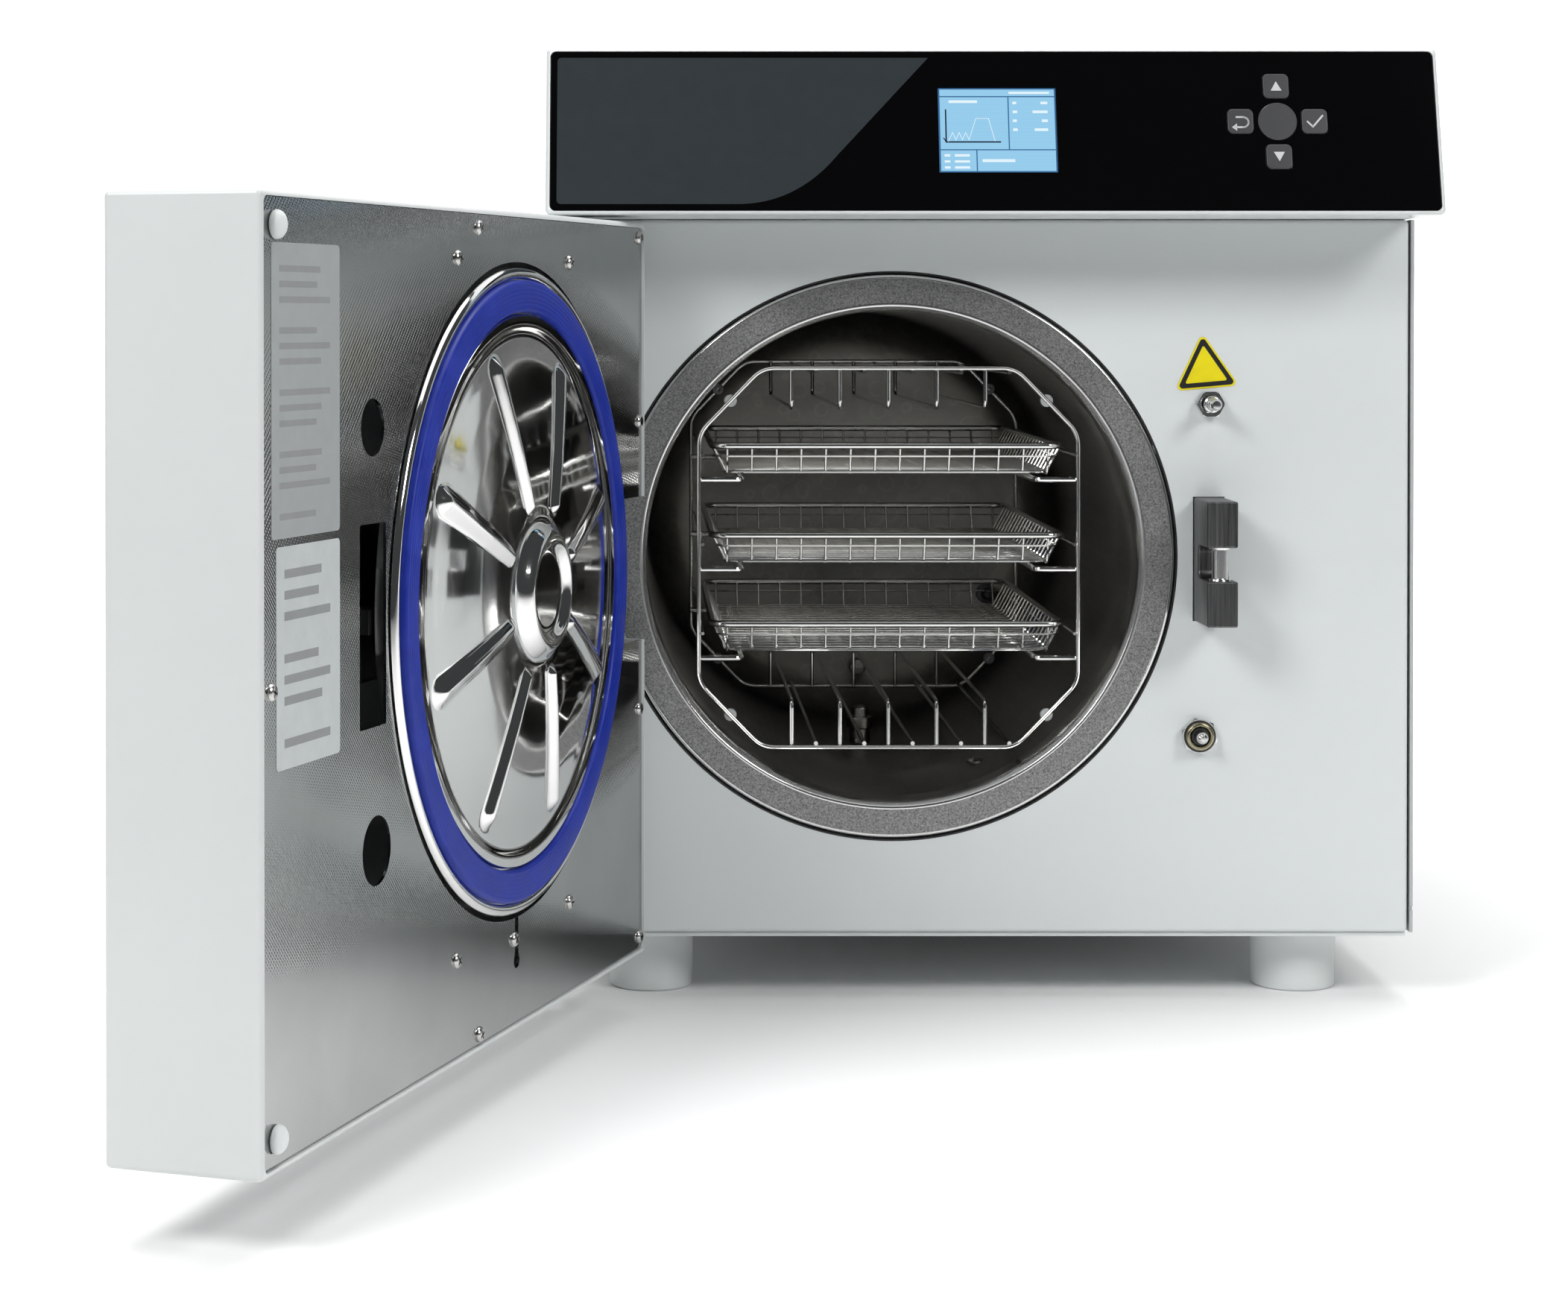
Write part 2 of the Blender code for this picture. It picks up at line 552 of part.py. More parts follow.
add("safety_valve", lathe(valve, "Y", (CH_X, VALVE_Z), 16), root, "brass", smooth=True)

# ---------------------------------------------------------------- door, drawn closed, hung open
door = empty("door_pivot", root, (HINGE_X, HINGE_Y, 0), (0, 0, math.radians(-DOOR_OPEN)))
shell = add("door_shell", box(DOOR_S, DOOR_N, DOOR_Z), door, "white_plastic")
bevel(shell, 1.6, 2)
inside_s = (DOOR_S[0] + DOOR_WALL, DOOR_S[1] - DOOR_WALL)
inside_z = (DOOR_Z[0] + DOOR_WALL, DOOR_Z[1] - DOOR_WALL)
mid_s, half_s = sum(inside_s) / 2, (inside_s[1] - inside_s[0]) / 2
mid_z, half_z = sum(inside_z) / 2, (inside_z[1] - inside_z[0]) / 2
cut(shell, prism(rounded(half_s, half_z, 3.0, 3, (mid_s, mid_z)), "Y", (DOOR_N[0] + DOOR_WALL, 40)), door)
cut(shell, box((DOOR_S[0] - 5, 3), (14, 40), NOTCH_EDGE_Z), door)
for low, high in ((DOOR_Z[0] + 1, DOOR_Z[0] + 19), (DOOR_Z[1] - 18, DOOR_Z[1] - 1)):
    join(shell, rod(8.0, "Z", (0, 0), (low, high), 24), door)
cut(shell, rod(4.2, "Z", (0, 0), (DOOR_Z[0] - 5, DOOR_Z[0] + 17), 20), door)
cut(shell, rod(4.2, "Z", (0, 0), (DOOR_Z[1] - 16, DOOR_Z[1] + 5), 20), door)

liner_outline = rounded(half_s - GAP, half_z - GAP, 2.7, 3, (mid_s, mid_z))
liner = add("door_liner", prism(liner_outline, "Y", LINER_N), door, "stainless")
cut(liner, rod(146, "Y", (LID_S, CH_Z), (20, 40), ROUND), door)
cut(liner, box((DOOR_S[0] - 5, 40), (20, 40), NOTCH_EDGE_Z), door)
cut(liner, rod(11.5, "Y", (BOLT_X - HINGE_X, BOLT_Z), (20, 40), 24), door)
cut(liner, rod(14.0, "Y", (SWITCH_X + 1.6 - HINGE_X, SWITCH_Z), (20, 40), 24), door)
cut(liner, box((SLOT_S - 13, SLOT_S + 13), (20, 40), (185.5, 266.5)), door)

# pressure lid: rolled rim, gasket seat, flat ring, dish and hub
lid_profile = [
    (0, 43.5), (21, 43.5), (26.5, 47.5), (34, 40.5), (65, 36.9), (95, 33.1), (113, 30.6), (118, 31.9),
    (122.5, 31.9), (123, 29.6), (138.5, 29.6), (140, 31.2), (143.8, 29), (143.8, 22), (0, 20),
]
lid = add("door_lid", lathe(lid_profile, "Y", (LID_S, CH_Z), ROUND), door, "polished", smooth=True)
for i in range(8):
    turn = math.radians(FIRST_RIB + 45 * i)
    outward = Vector((math.cos(turn), 0, math.sin(turn)))
    start = Vector((LID_S, 38.4, CH_Z)) + outward * RIB_R[0]
    finish = Vector((LID_S, 30.8, CH_Z)) + outward * RIB_R[1]
    join(lid, wire([start, finish], RIB_WIRE_R, 6), door)
gasket_profile = [
    (123.5, 29.9), (138.0, 29.9), (138.0, 32.8), (136.0, 33.7), (125.6, 33.7), (123.5, 32.6),
]
add("door_gasket", lathe(gasket_profile, "Y", (LID_S, CH_Z), ROUND), door, "blue_silicone", smooth=True)
yoke = add("door_yoke", box((14, 300), (-24, -12), (192, 262)), door, "dark_steel")
bevel(yoke, 2, 1)
join(yoke, rod(30, "Y", (LID_S, CH_Z), (-18, 19.6), 32), door)
motor = add("lock_motor", box((335, 395), (-24, 10), (200, 255)), door, "galvanised")
bevel(motor, 3, 2)
join(motor, rod(16, "Z", (365, -7), (245, 300), 24), door)
wedge = [
    (WEDGE_S[0], 9.5), (WEDGE_S[1] - 4, 9.5), (WEDGE_S[1], 11.5), (WEDGE_S[1], 20.5), (WEDGE_S[0], 20.5),
]
add("lock_wedge", prism(wedge, "Z", (220.5, 230.5)), door, "dark_steel", at=(WEDGE_S[0], 15, 225.5))
bumper = [(0, LINER_N[1] + GAP), (5.5, LINER_N[1] + GAP), (5.5, 31.4), (4, 32.6), (0, 32.9)]
for name, z in (("bumper_top", DOOR_Z[1] - 13), ("bumper_bottom", DOOR_Z[0] + 13)):
    add(name, lathe(bumper, "Y", (DOOR_S[1] - 14, z), 20), door, "white_plastic", smooth=True)

# ---------------------------------------------------------------- rack
rack = empty("rack_pivot", root, (RACK_X, RACK_Y[0], RACK_Z))
half_octagon = [
    (RACK_FLAT_X, RACK_HALF),
    (RACK_HALF, RACK_FLAT_Z),
    (RACK_HALF, -RACK_FLAT_Z),
    (RACK_FLAT_X, -RACK_HALF),
]
octagon = half_octagon + [(-a, -b) for a, b in half_octagon]
length = RACK_Y[1] - RACK_Y[0]
for name, y in (("rack_front_frame", 0.0), ("rack_rear_frame", length)):
    path = [(a, y, b) for a, b in octagon]
    add(name, wire(path, FRAME_WIRE_R, 6, closed=True), rack, "polished", smooth=True)
leg_y = (LEG_INSET, length - LEG_INSET)
for name, sign in (("rack_rails_left", -1), ("rack_rails_right", 1)):
    legs = []
    for y in leg_y:
        legs.append(wire([(sign * RACK_HALF, y, z) for z in LEG_Z], CROSS_WIRE_R, 6))
    ladder = add(name, legs[0], rack, "polished", smooth=True)
    for height in RAIL_HEIGHTS:
        path = [
            (sign * (RACK_HALF + 0.6), leg_y[0], height), (sign * RAIL_X, leg_y[0], height),
            (sign * RAIL_X, leg_y[1], height), (sign * (RACK_HALF + 0.6), leg_y[1], height),
        ]
        join(ladder, wire(path, RAIL_WIRE_R, 6), rack)
    join(ladder, legs[1], rack)
for name, sign in (("rack_guide_top", 1), ("rack_guide_bottom", -1)):
    cross_z = sign * (RACK_HALF - 2.6)
    guide_z = cross_z - sign * 0.1
    crosses = []
    for y in leg_y:
        crosses.append(wire([(-GUIDE_HALF, y, cross_z), (GUIDE_HALF, y, cross_z)], CROSS_WIRE_R, 6))
    grid = add(name, crosses[0], rack, "polished", smooth=True)
    for x in GUIDE_X:
        join(grid, wire([(x, 1.9, guide_z), (x, length - 1.9, guide_z)], GUIDE_WIRE_R, 6), rack)
    join(grid, crosses[1], rack)

# ---------------------------------------------------------------- trays
for name, height in zip(TRAY_NAMES, RAIL_HEIGHTS):
    low = height + RAIL_WIRE_R + GAP
    high = low + TRAY_DEPTH
    bm = bmesh.new()
    rings = []
    for half, inset, z in ((84, 7, low), (92.5, 0, high), (90.0, 2.5, high), (82.5, 9.5, low + 1.2)):
        front, back = TRAY_Y[0] + inset, TRAY_Y[1] - inset
        corners = [(-half, front), (half, front), (half, back), (-half, back)]
        rings.append([bm.verts.new((a, b, z)) for a, b in corners])
    bm.faces.new(rings[0])
    bm.faces.new(rings[3])
    for inner_ring, outer_ring in zip(rings, rings[1:]):
        for k in range(4):
            m = (k + 1) % 4
            bm.faces.new((inner_ring[k], inner_ring[m], outer_ring[m], outer_ring[k]))
    add(name, bm, rack, "polished", at=(0, 0, low))
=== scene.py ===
"""Looks of a benchtop steam autoclave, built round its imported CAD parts.

Shapes are drawn in millimetres in four frames: the machine's (X across, Y into the cabinet, Z up from
the bench), the shut door's (s along its width, n towards the cabinet), the console's sloping face and
the rack's. Each piece is put in its place by its frame's matrix.
"""

import json
import math

import bmesh
import bpy
from mathutils import Matrix, Vector


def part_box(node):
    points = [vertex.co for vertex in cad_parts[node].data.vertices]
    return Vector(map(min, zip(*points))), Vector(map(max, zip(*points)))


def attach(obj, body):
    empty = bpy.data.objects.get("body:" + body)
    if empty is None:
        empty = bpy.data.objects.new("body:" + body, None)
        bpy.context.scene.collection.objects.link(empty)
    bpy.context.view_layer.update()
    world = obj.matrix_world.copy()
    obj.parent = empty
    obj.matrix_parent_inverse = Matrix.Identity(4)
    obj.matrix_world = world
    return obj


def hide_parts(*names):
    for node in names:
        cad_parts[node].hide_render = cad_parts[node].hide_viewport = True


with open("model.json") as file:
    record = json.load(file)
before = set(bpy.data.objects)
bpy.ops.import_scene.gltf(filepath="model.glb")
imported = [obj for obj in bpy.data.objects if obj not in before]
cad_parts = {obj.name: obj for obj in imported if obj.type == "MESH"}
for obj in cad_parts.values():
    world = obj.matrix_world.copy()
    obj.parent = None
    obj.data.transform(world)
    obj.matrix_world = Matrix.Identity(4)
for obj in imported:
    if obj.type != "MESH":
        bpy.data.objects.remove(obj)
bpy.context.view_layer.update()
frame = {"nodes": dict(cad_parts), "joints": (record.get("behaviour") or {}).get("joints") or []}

MM = 0.001
joints = {joint["name"]: joint for joint in frame["joints"]}

# ---------------------------------------- frames taken from the CAD parts
panel_low, panel_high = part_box("front_panel")
flange_low, flange_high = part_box("chamber_flange")
console_low, console_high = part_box("console_shell")
cover_low, cover_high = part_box("outer_cover")
rack_low, rack_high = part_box("rack_front_frame")
rear_low, rear_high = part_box("rack_rear_frame")

MACHINE_X = (panel_low.x + panel_high.x) / 2
MACHINE_Y = panel_low.y
MACHINE = Matrix.Translation((MACHINE_X, MACHINE_Y, 0)) @ Matrix.Scale(MM, 4)

HALF_W = (cover_high.x - cover_low.x) / 2 / MM
PANEL_HALF_W = (panel_high.x - panel_low.x) / 2 / MM
PANEL_Z = (panel_low.z / MM, panel_high.z / MM)
REAR_Y = (cover_high.y - MACHINE_Y) / MM
COVER_TOP = cover_high.z / MM
CHAMBER_X = ((flange_low.x + flange_high.x) / 2 - MACHINE_X) / MM
CHAMBER_Z = (flange_low.z + flange_high.z) / 2 / MM
CHAMBER_AT = (CHAMBER_X, CHAMBER_Z)

hinge = Vector(joints["door_swing"]["pos_m"])
DOOR_OPEN = -math.radians(joints["door_swing"]["range_deg"][0])
DOOR = Matrix.Translation(hinge) @ Matrix.Rotation(-DOOR_OPEN, 4, "Z") @ Matrix.Scale(MM, 4)
HINGE_X = (hinge.x - MACHINE_X) / MM
LID_S = CHAMBER_X - HINGE_X
LID_AT = (LID_S, CHAMBER_Z)

press = Vector(joints["back_key_press"]["axis"])
TILT = math.atan2(-press.z, press.y)
CONSOLE_Y = ((console_low.y - MACHINE_Y) / MM, (console_high.y - MACHINE_Y) / MM)
CONSOLE_Z = (console_low.z / MM, console_high.z / MM)
SLOPE_LENGTH = (CONSOLE_Z[1] - CONSOLE_Z[0]) / math.cos(TILT)
SLOPE = MACHINE @ Matrix.Translation((0, CONSOLE_Y[0], CONSOLE_Z[0])) @ Matrix.Rotation(-TILT, 4, "X")

RACK_X = ((rack_low.x + rack_high.x) / 2 - MACHINE_X) / MM
RACK_Y = ((rack_low.y + rack_high.y) / 2 - MACHINE_Y) / MM
RACK_Z = (rack_low.z + rack_high.z) / 2 / MM
RACK_LENGTH = (rear_low.y - rack_low.y) / MM
RACK = MACHINE @ Matrix.Translation((RACK_X, RACK_Y, RACK_Z))

# ---------------------------------------- sizes of the visible pieces
DOOR_S = (-15.7, 424.3)
DOOR_N = (-34.7, 30.0)
DOOR_Z = (31.5, 395.5)
DOOR_WALL = 2.5
LINER_N = (27.5, 28.7)
EDGE_NOTCH_Z = (188.0, 259.5)
LATCH_X = (107.9, 123.2)
LATCH_Z = (194.5, 257.0)
LATCH_NOTCH_Z = (217.2, 234.0)
LATCH_PIN_Y = -31.0
LATCH_S = (LATCH_X[0] + LATCH_X[1]) / 2 - HINGE_X
BOLT_AT = (115.7, 304.6)
SWITCH_AT = (110.4, 136.0)
SCREEN_U = (-26.8, 30.8)
SCREEN_V = (22.0, 65.2)
KEY_CENTRE = (139.6, 48.0)
KEY_PITCH = 18.2
KEY_SIZE = 12.7
RACK_HALF = 98.0
RACK_CORNER = (65.5, 64.5)
RAIL_HEIGHTS = (40.4, -6.0, -52.0)
RAIL_X = 76.0
CAP_AT = (-120.0, 380.0)
FAN_AT = (163, 300)
STEAM_AT = (-47, 215)
DRAIN_AT = (4.8, 69)
SIDES = ((-1, "left"), (1, "right"))
ON_DOOR = {"place": DOOR, "body": "door"}
SHEET = 1.6
PANE_HALF = 217.6
PIERCE_PANEL = (-5, 8)
PIERCE_LINER = (20, 40)

# ---------------------------------------- finishes

MIDDLE = (0.3, 0.7)
UPPER = (0.3, 0.75)


class Finish:
    """A principled material under construction, with short calls for the nodes it needs."""

    def __init__(self, name, colour, roughness, metallic=0.0, **sockets):
        self.made = bpy.data.materials.new(name)
        self.made.use_nodes = True
        self.made.diffuse_color = (*colour, 1)
        self.nodes = self.made.node_tree.nodes
        self.links = self.made.node_tree.links
        self.shader = self.nodes["Principled BSDF"]
        self.set(self.shader, {"Base Color": (*colour, 1), "Roughness": roughness, "Metallic": metallic})
        self.set(self.shader, {key.replace("_", " "): value for key, value in sockets.items()})
        self.place = self.node("ShaderNodeTexCoord").outputs["Object"]

    @staticmethod
    def set(node, values):
        for key, value in values.items():
            node.inputs[key].default_value = value

    def node(self, kind, values=None, **options):
        made = self.nodes.new(kind)
        for key, value in options.items():
            setattr(made, key, value)
        self.set(made, values or {})
        return made

    def link(self, source, target):
        self.links.new(source, target)

    def mapped(self, scale=(1, 1, 1), turn=(0, 0, 0), source=None):
        """The surface place, turned and then stretched."""
        turned = self.node("ShaderNodeMapping", {"Rotation": turn})
        stretched = self.node("ShaderNodeMapping", {"Scale": scale})
        self.link(source or self.place, turned.inputs["Vector"])
        self.link(turned.outputs[0], stretched.inputs["Vector"])
        return stretched.outputs[0]

    def noise(self, scale, detail=3.0, rough=0.55, place=None, distortion=0.0):
        values = {"Scale": scale, "Detail": detail, "Roughness": rough, "Distortion": distortion}
        made = self.node("ShaderNodeTexNoise", values)
        self.link(place or self.place, made.inputs["Vector"])
        return made.outputs["Fac"]

    def cells(self, scale, place=None, randomness=1.0):
        made = self.node("ShaderNodeTexVoronoi", {"Scale": scale, "Randomness": randomness})
        self.link(place or self.place, made.inputs["Vector"])
        return made.outputs["Distance"]

    def ramp(self, source, span, to=(0.0, 1.0)):
        """A source stretched from one span of values to another."""
        values = {"From Min": span[0], "From Max": span[1], "To Min": to[0], "To Max": to[1]}
        made = self.node("ShaderNodeMapRange", values)
        self.link(source, made.inputs["Value"])
        return made.outputs["Result"]

    def blend(self, amount, first, second):
        """A colour between two, by an amount from 0 to 1."""
        made = self.node("ShaderNodeMix", data_type="RGBA")
        self.link(amount, made.inputs["Factor"])
        for socket, value in ((made.inputs[6], first), (made.inputs[7], second)):
            if isinstance(value, tuple):
                socket.default_value = (*value, 1)
            else:
                self.link(value, socket)
        return made.outputs[2]

    def math(self, operation, first, second=0.0):
        made = self.node("ShaderNodeMath", operation=operation)
        for socket, value in zip(made.inputs, (first, second)):
            if isinstance(value, (int, float)):
                socket.default_value = value
            else:
                self.link(value, socket)
        return made.outputs[0]

    def total(self, *layers):
        """Two ramped sources added together."""
        first, second = (self.ramp(*layer) for layer in layers)
        return self.math("ADD", first, second)

    def colour(self, source):
        self.link(source, self.shader.inputs["Base Color"])

    def shade(self, source, span, first, second):
        self.colour(self.blend(self.ramp(source, span), first, second))

    def roughness(self, source):
        self.link(source, self.shader.inputs["Roughness"])

    def gloss(self, source, span, to):
        self.roughness(self.ramp(source, span, to))

    def bump(self, height, strength, distance):
        made = self.node("ShaderNodeBump", {"Strength": strength, "Distance": distance})
        self.link(height, made.inputs["Height"])
        bumped = self.shader.inputs["Normal"]
        if bumped.is_linked:
            self.link(bumped.links[0].from_socket, made.inputs["Normal"])
        self.link(made.outputs[0], bumped)


def dimmed(colour, share):
    return tuple(c * share for c in colour)


def powder_coat(name, colour, roughness=0.36):
    """Sprayed and baked paint: a faint orange peel and slow changes of shade and gloss."""
    coat = Finish(name, colour, roughness, Coat_Weight=0.12, Coat_Roughness=0.25)
    coat.shade(coat.noise(5.0, 2.0), MIDDLE, dimmed(colour, 0.965), colour)
    coat.gloss(coat.noise(38.0, 4.0), MIDDLE, (roughness - 0.05, roughness + 0.06))
    coat.bump(coat.noise(900.0, 2.0), 0.10, 0.00025)
    return coat.made


def moulded_plastic(name, colour, roughness=0.32, grain=0.08):
    """Injection moulded shell with a fine spark-eroded grain."""
    shell = Finish(name, colour, roughness, Specular_IOR_Level=0.5)
    shell.shade(shell.noise(7.0), MIDDLE, dimmed(colour, 0.97), colour)
    shell.gloss(shell.noise(60.0), (0.25, 0.75), (roughness - 0.04, roughness + 0.05))
    shell.bump(shell.noise(1700.0, 2.0), grain, 0.0002)
    return shell.made


def linen_steel():
    """Stainless sheet rolled with a fine linen of offset dots, seen on the door's inner face."""
    sheet = Finish("linen_stainless", (0.56, 0.57, 0.56), 0.14, 1.0)
    flat = sheet.mapped(turn=(0, 0, DOOR_OPEN))
    weave = sheet.mapped((1, 0.0, 1.45), (0, math.radians(45), 0), flat)
    dots = sheet.cells(520.0, weave, randomness=0.0)
    brushed = sheet.noise(1.0, 4.0, 0.6, sheet.mapped((18, 18, 1400), source=flat))
    smears = sheet.noise(9.0, 4.0, 0.6)
    sheet.shade(smears, UPPER, (0.35, 0.36, 0.355), (0.46, 0.47, 0.465))
    sheet.roughness(sheet.total((smears, MIDDLE, (0.07, 0.11)), (brushed, MIDDLE, (0, 0.03))))
    sheet.bump(brushed, 0.02, 0.0002)
    sheet.bump(dots, 0.22, 0.00035)
    return sheet.made


def mirror_steel(name, colour=(0.78, 0.78, 0.77), roughness=0.05, scratches=0.02):
    """Polished stainless with hairline buffing marks."""
    polish = Finish(name, colour, roughness, 1.0)
    fine = polish.noise(1.0, 3.0, 0.6, polish.mapped((420, 420, 90)))
    smears = polish.noise(14.0, 5.0, 0.6)
    worn = (smears, (0.35, 0.75), (roughness, roughness + 0.05))
    polish.roughness(polish.total(worn, (fine, (0.55, 0.8), (0, 0.04))))
    polish.bump(fine, scratches, 0.0001)
    return polish.made


def chamber_steel():
    """Deep-drawn vessel wall: drawn along its length, dulled and watermarked by steam."""
    wall = Finish("steamed_stainless", (0.36, 0.35, 0.33), 0.34, 1.0)
    drawn = wall.noise(1.0, 4.0, 0.6, wall.mapped((420, 9, 420)))
    marks = wall.noise(11.0, 6.0, 0.62, distortion=1.2)
    drops = wall.cells(75.0)
    rings = wall.math("MULTIPLY", wall.ramp(drops, (0.30, 0.34)), wall.ramp(drops, (0.42, 0.36)))
    shade = wall.math("ADD", wall.ramp(marks, (0.35, 0.7)), wall.math("MULTIPLY", rings, 0.25))
    wall.colour(wall.blend(shade, (0.27, 0.262, 0.245), (0.43, 0.42, 0.395)))
    wall.roughness(wall.total((marks, MIDDLE, (0.26, 0.42)), (drawn, MIDDLE, (0, 0.08))))
    wall.bump(drawn, 0.10, 0.0003)
    return wall.made


def blasted_steel():
    """Bead-blasted sealing face with a coarse sparkle."""
    face = Finish("blasted_stainless", (0.46, 0.455, 0.44), 0.42, 1.0)
    grain = face.noise(1050.0, 3.0, 0.75)
    face.shade(grain, (0.3, 0.72), (0.10, 0.102, 0.10), (0.44, 0.445, 0.44))
    face.gloss(face.noise(24.0, 4.0), MIDDLE, (0.36, 0.5))
    face.bump(grain, 0.35, 0.0004)
    return face.made


def machined_steel():
    """Milled latch steel, darkened, with tool marks."""
    block = Finish("milled_steel", (0.17, 0.17, 0.165), 0.36, 1.0)
    milled = block.noise(1.0, 4.0, 0.65, block.mapped((900, 900, 22)))
    lines = block.noise(1.0, 5.0, 0.7, block.mapped((520, 520, 14)))
    block.shade(lines, (0.3, 0.72), (0.055, 0.057, 0.058), (0.16, 0.162, 0.16))
    block.gloss(milled, (0.25, 0.75), (0.26, 0.5))
    block.bump(milled, 0.22, 0.0003)
    block.bump(block.noise(85.0, 6.0, 0.65), 0.06, 0.0004)
    return block.made


def silicone(name, colour, shine=0.4):
    """Moulded silicone: soft gloss, faint bloom and dust."""
    rubber = Finish(name, colour, 0.38, Specular_IOR_Level=shine)
    bloom = rubber.noise(60.0, 5.0, 0.6)
    rubber.shade(bloom, (0.4, 0.75), colour, tuple(min(1.0, c * 1.25 + 0.012) for c in colour))
    rubber.gloss(bloom, MIDDLE, (0.3, 0.46))
    rubber.bump(rubber.noise(1300.0, 2.0), 0.1, 0.0002)
    return rubber.made


def plate_glass():
    """Back-painted black glass of the console."""
    glass = Finish("black_glass", (0.0015, 0.0015, 0.0018), 0.06, Specular_IOR_Level=0.2)
    glass.gloss(glass.noise(16.0, 5.0, 0.6), (0.4, 0.75), (0.06, 0.10))
    glass.bump(glass.noise(5.0, 1.0), 0.02, 0.0004)
    return glass.made


def lit(name, colour, strength):
    """A patch of the lit display, with the faint grid of its dots."""
    patch = Finish(name, colour, 0.25, Specular_IOR_Level=0.3)
    dots = patch.ramp(patch.cells(4200.0, randomness=0.0), (0.2, 0.65))
    patch.link(patch.blend(dots, colour, dimmed(colour, 0.86)), patch.shader.inputs["Emission Color"])
    patch.colour(patch.blend(dots, dimmed(colour, 0.12), (0.01, 0.01, 0.012)))
    patch.shader.inputs["Emission Strength"].default_value = strength
    return patch.made


def printed(name, colour, roughness=0.4):
    """Screen-printed or stuck-on film with a slightly uneven lay."""
    film = Finish(name, colour, roughness, Specular_IOR_Level=0.4)
    film.shade(film.noise(120.0, 4.0), MIDDLE, dimmed(colour, 0.93), colour)
    film.bump(film.noise(60.0, 2.0), 0.08, 0.0003)
    return film.made


def turned_metal(name, colour, roughness):
    """Lathe-turned fitting with fine rings and handling marks."""
    metal = Finish(name, colour, roughness, 1.0)
    smear = metal.noise(160.0, 4.0)
    metal.shade(smear, UPPER, dimmed(colour, 0.8), colour)
    metal.gloss(smear, MIDDLE, (roughness - 0.06, roughness + 0.1))
    metal.bump(metal.noise(1.0, 2.0, 0.5, metal.mapped((60, 2600, 60))), 0.08, 0.0002)
    return metal.made


def clear_nylon():
    """Milky spacer discs."""
    disc = Finish("milky_nylon", (0.62, 0.64, 0.64), 0.35, Transmission_Weight=0.35, IOR=1.5)
    disc.bump(disc.noise(700.0, 2.0), 0.1, 0.0002)
    return disc.made


def galvanised_sheet():
    """Zinc-coated rear sheet with its fine spangle."""
    sheet = Finish("galvanised_sheet", (0.4, 0.41, 0.42), 0.42, 0.85)
    spangle = sheet.cells(60.0)
    drift = (sheet.noise(9.0, 4.0), MIDDLE, (0, 0.45))
    total = sheet.total((spangle, (0.1, 0.7), (0, 0.55)), drift)
    sheet.colour(sheet.blend(total, (0.345, 0.36, 0.37), (0.42, 0.435, 0.445)))
    sheet.gloss(spangle, (0.1, 0.6), (0.40, 0.48))
    return sheet.made


def wool_felt():
    """Needled insulation blanket."""
    felt = Finish("needled_felt", (0.66, 0.64, 0.58), 0.95, Sheen_Weight=0.4)
    fibre = felt.noise(300.0, 6.0, 0.7)
    felt.shade(fibre, MIDDLE, (0.52, 0.5, 0.44), (0.74, 0.72, 0.66))
    felt.bump(fibre, 0.6, 0.001)
    return felt.made


WHITE_PAINT = powder_coat("white_powder_coat", (0.63, 0.66, 0.66))
# Painted shade: the cover wears the front's white paint darkened, so its top and sides don't blow out
# under the overhead lamps.
COVER_WHITE_PAINTED_SHADE = powder_coat("cover_white_coat_painted_shade", (0.41, 0.43, 0.43), 0.42)
WHITE_SHELL = moulded_plastic("white_moulding", (0.66, 0.685, 0.68))
WHITE_FOOT = moulded_plastic("white_foot", (0.72, 0.75, 0.745), 0.45, 0.15)
BLACK_PLASTIC = moulded_plastic("black_moulding", (0.02, 0.02, 0.021), 0.42, 0.2)
TANK_PLASTIC = moulded_plastic("tank_polyethylene", (0.72, 0.77, 0.79), 0.4, 0.1)
BOARD_GREEN = moulded_plastic("circuit_board", (0.02, 0.16, 0.06), 0.4, 0.2)
LINER = linen_steel()
MIRROR = mirror_steel("lid_polish")
WIRE_POLISH = mirror_steel("wire_polish", (0.72, 0.72, 0.70), 0.12, 0.04)
FITTING_POLISH = mirror_steel("fitting_polish", (0.70, 0.70, 0.69), 0.16, 0.05)
CHAMBER = chamber_steel()
BLASTED = blasted_steel()
MILLED = machined_steel()
BLUE = silicone("blue_silicone", (0.008, 0.024, 0.27), 0.22)
BLACK_RUBBER = silicone("black_silicone", (0.012, 0.012, 0.013))
GLASS = plate_glass()
GLASS_GREY = printed("grey_print_under_glass", (0.030, 0.036, 0.040), 0.09)
KEY_FACE = printed("key_grey", (0.042, 0.043, 0.045), 0.3)
GLYPH = printed("glyph_silver", (0.52, 0.53, 0.53), 0.35)
BRASS = turned_metal("nickel_brass", (0.36, 0.33, 0.22), 0.24)
BRIGHT = turned_metal("bright_turned_steel", (0.62, 0.61, 0.59), 0.2)
NYLON = clear_nylon()
ZINC = galvanised_sheet()
FELT = wool_felt()
YELLOW = printed("warning_yellow", (0.78, 0.66, 0.008), 0.35)
SIGN_BLACK = printed("sign_black", (0.012, 0.012, 0.012), 0.4)
LABEL_WHITE = printed("label_white", (0.52, 0.55, 0.555), 0.3)
LABEL_SILVER = printed("label_silver", (0.34, 0.36, 0.365), 0.35)
LABEL_INK = printed("label_ink", (0.27, 0.28, 0.285), 0.5)
# Painted shade: a near-black film laid where vent slots and the drain hole would show the dark inside.
OPENING_PAINTED_SHADE = printed("opening_painted_shade", (0.006, 0.006, 0.006), 0.9)
SCREEN_BLUE = lit("display_blue", (0.33, 0.66, 0.92), 0.92)
SCREEN_DEEP = lit("display_deep_blue", (0.05, 0.20, 0.45), 0.7)
SCREEN_WHITE = lit("display_white", (0.80, 0.93, 1.0), 1.0)
SCREEN_DARK = lit("display_ink", (0.01, 0.05, 0.2), 0.1)

# ---------------------------------------- mesh making


def inset(ends, by):
    return (ends[0] + by, ends[1] - by)


def middle(ends):
    return sum(ends) / 2


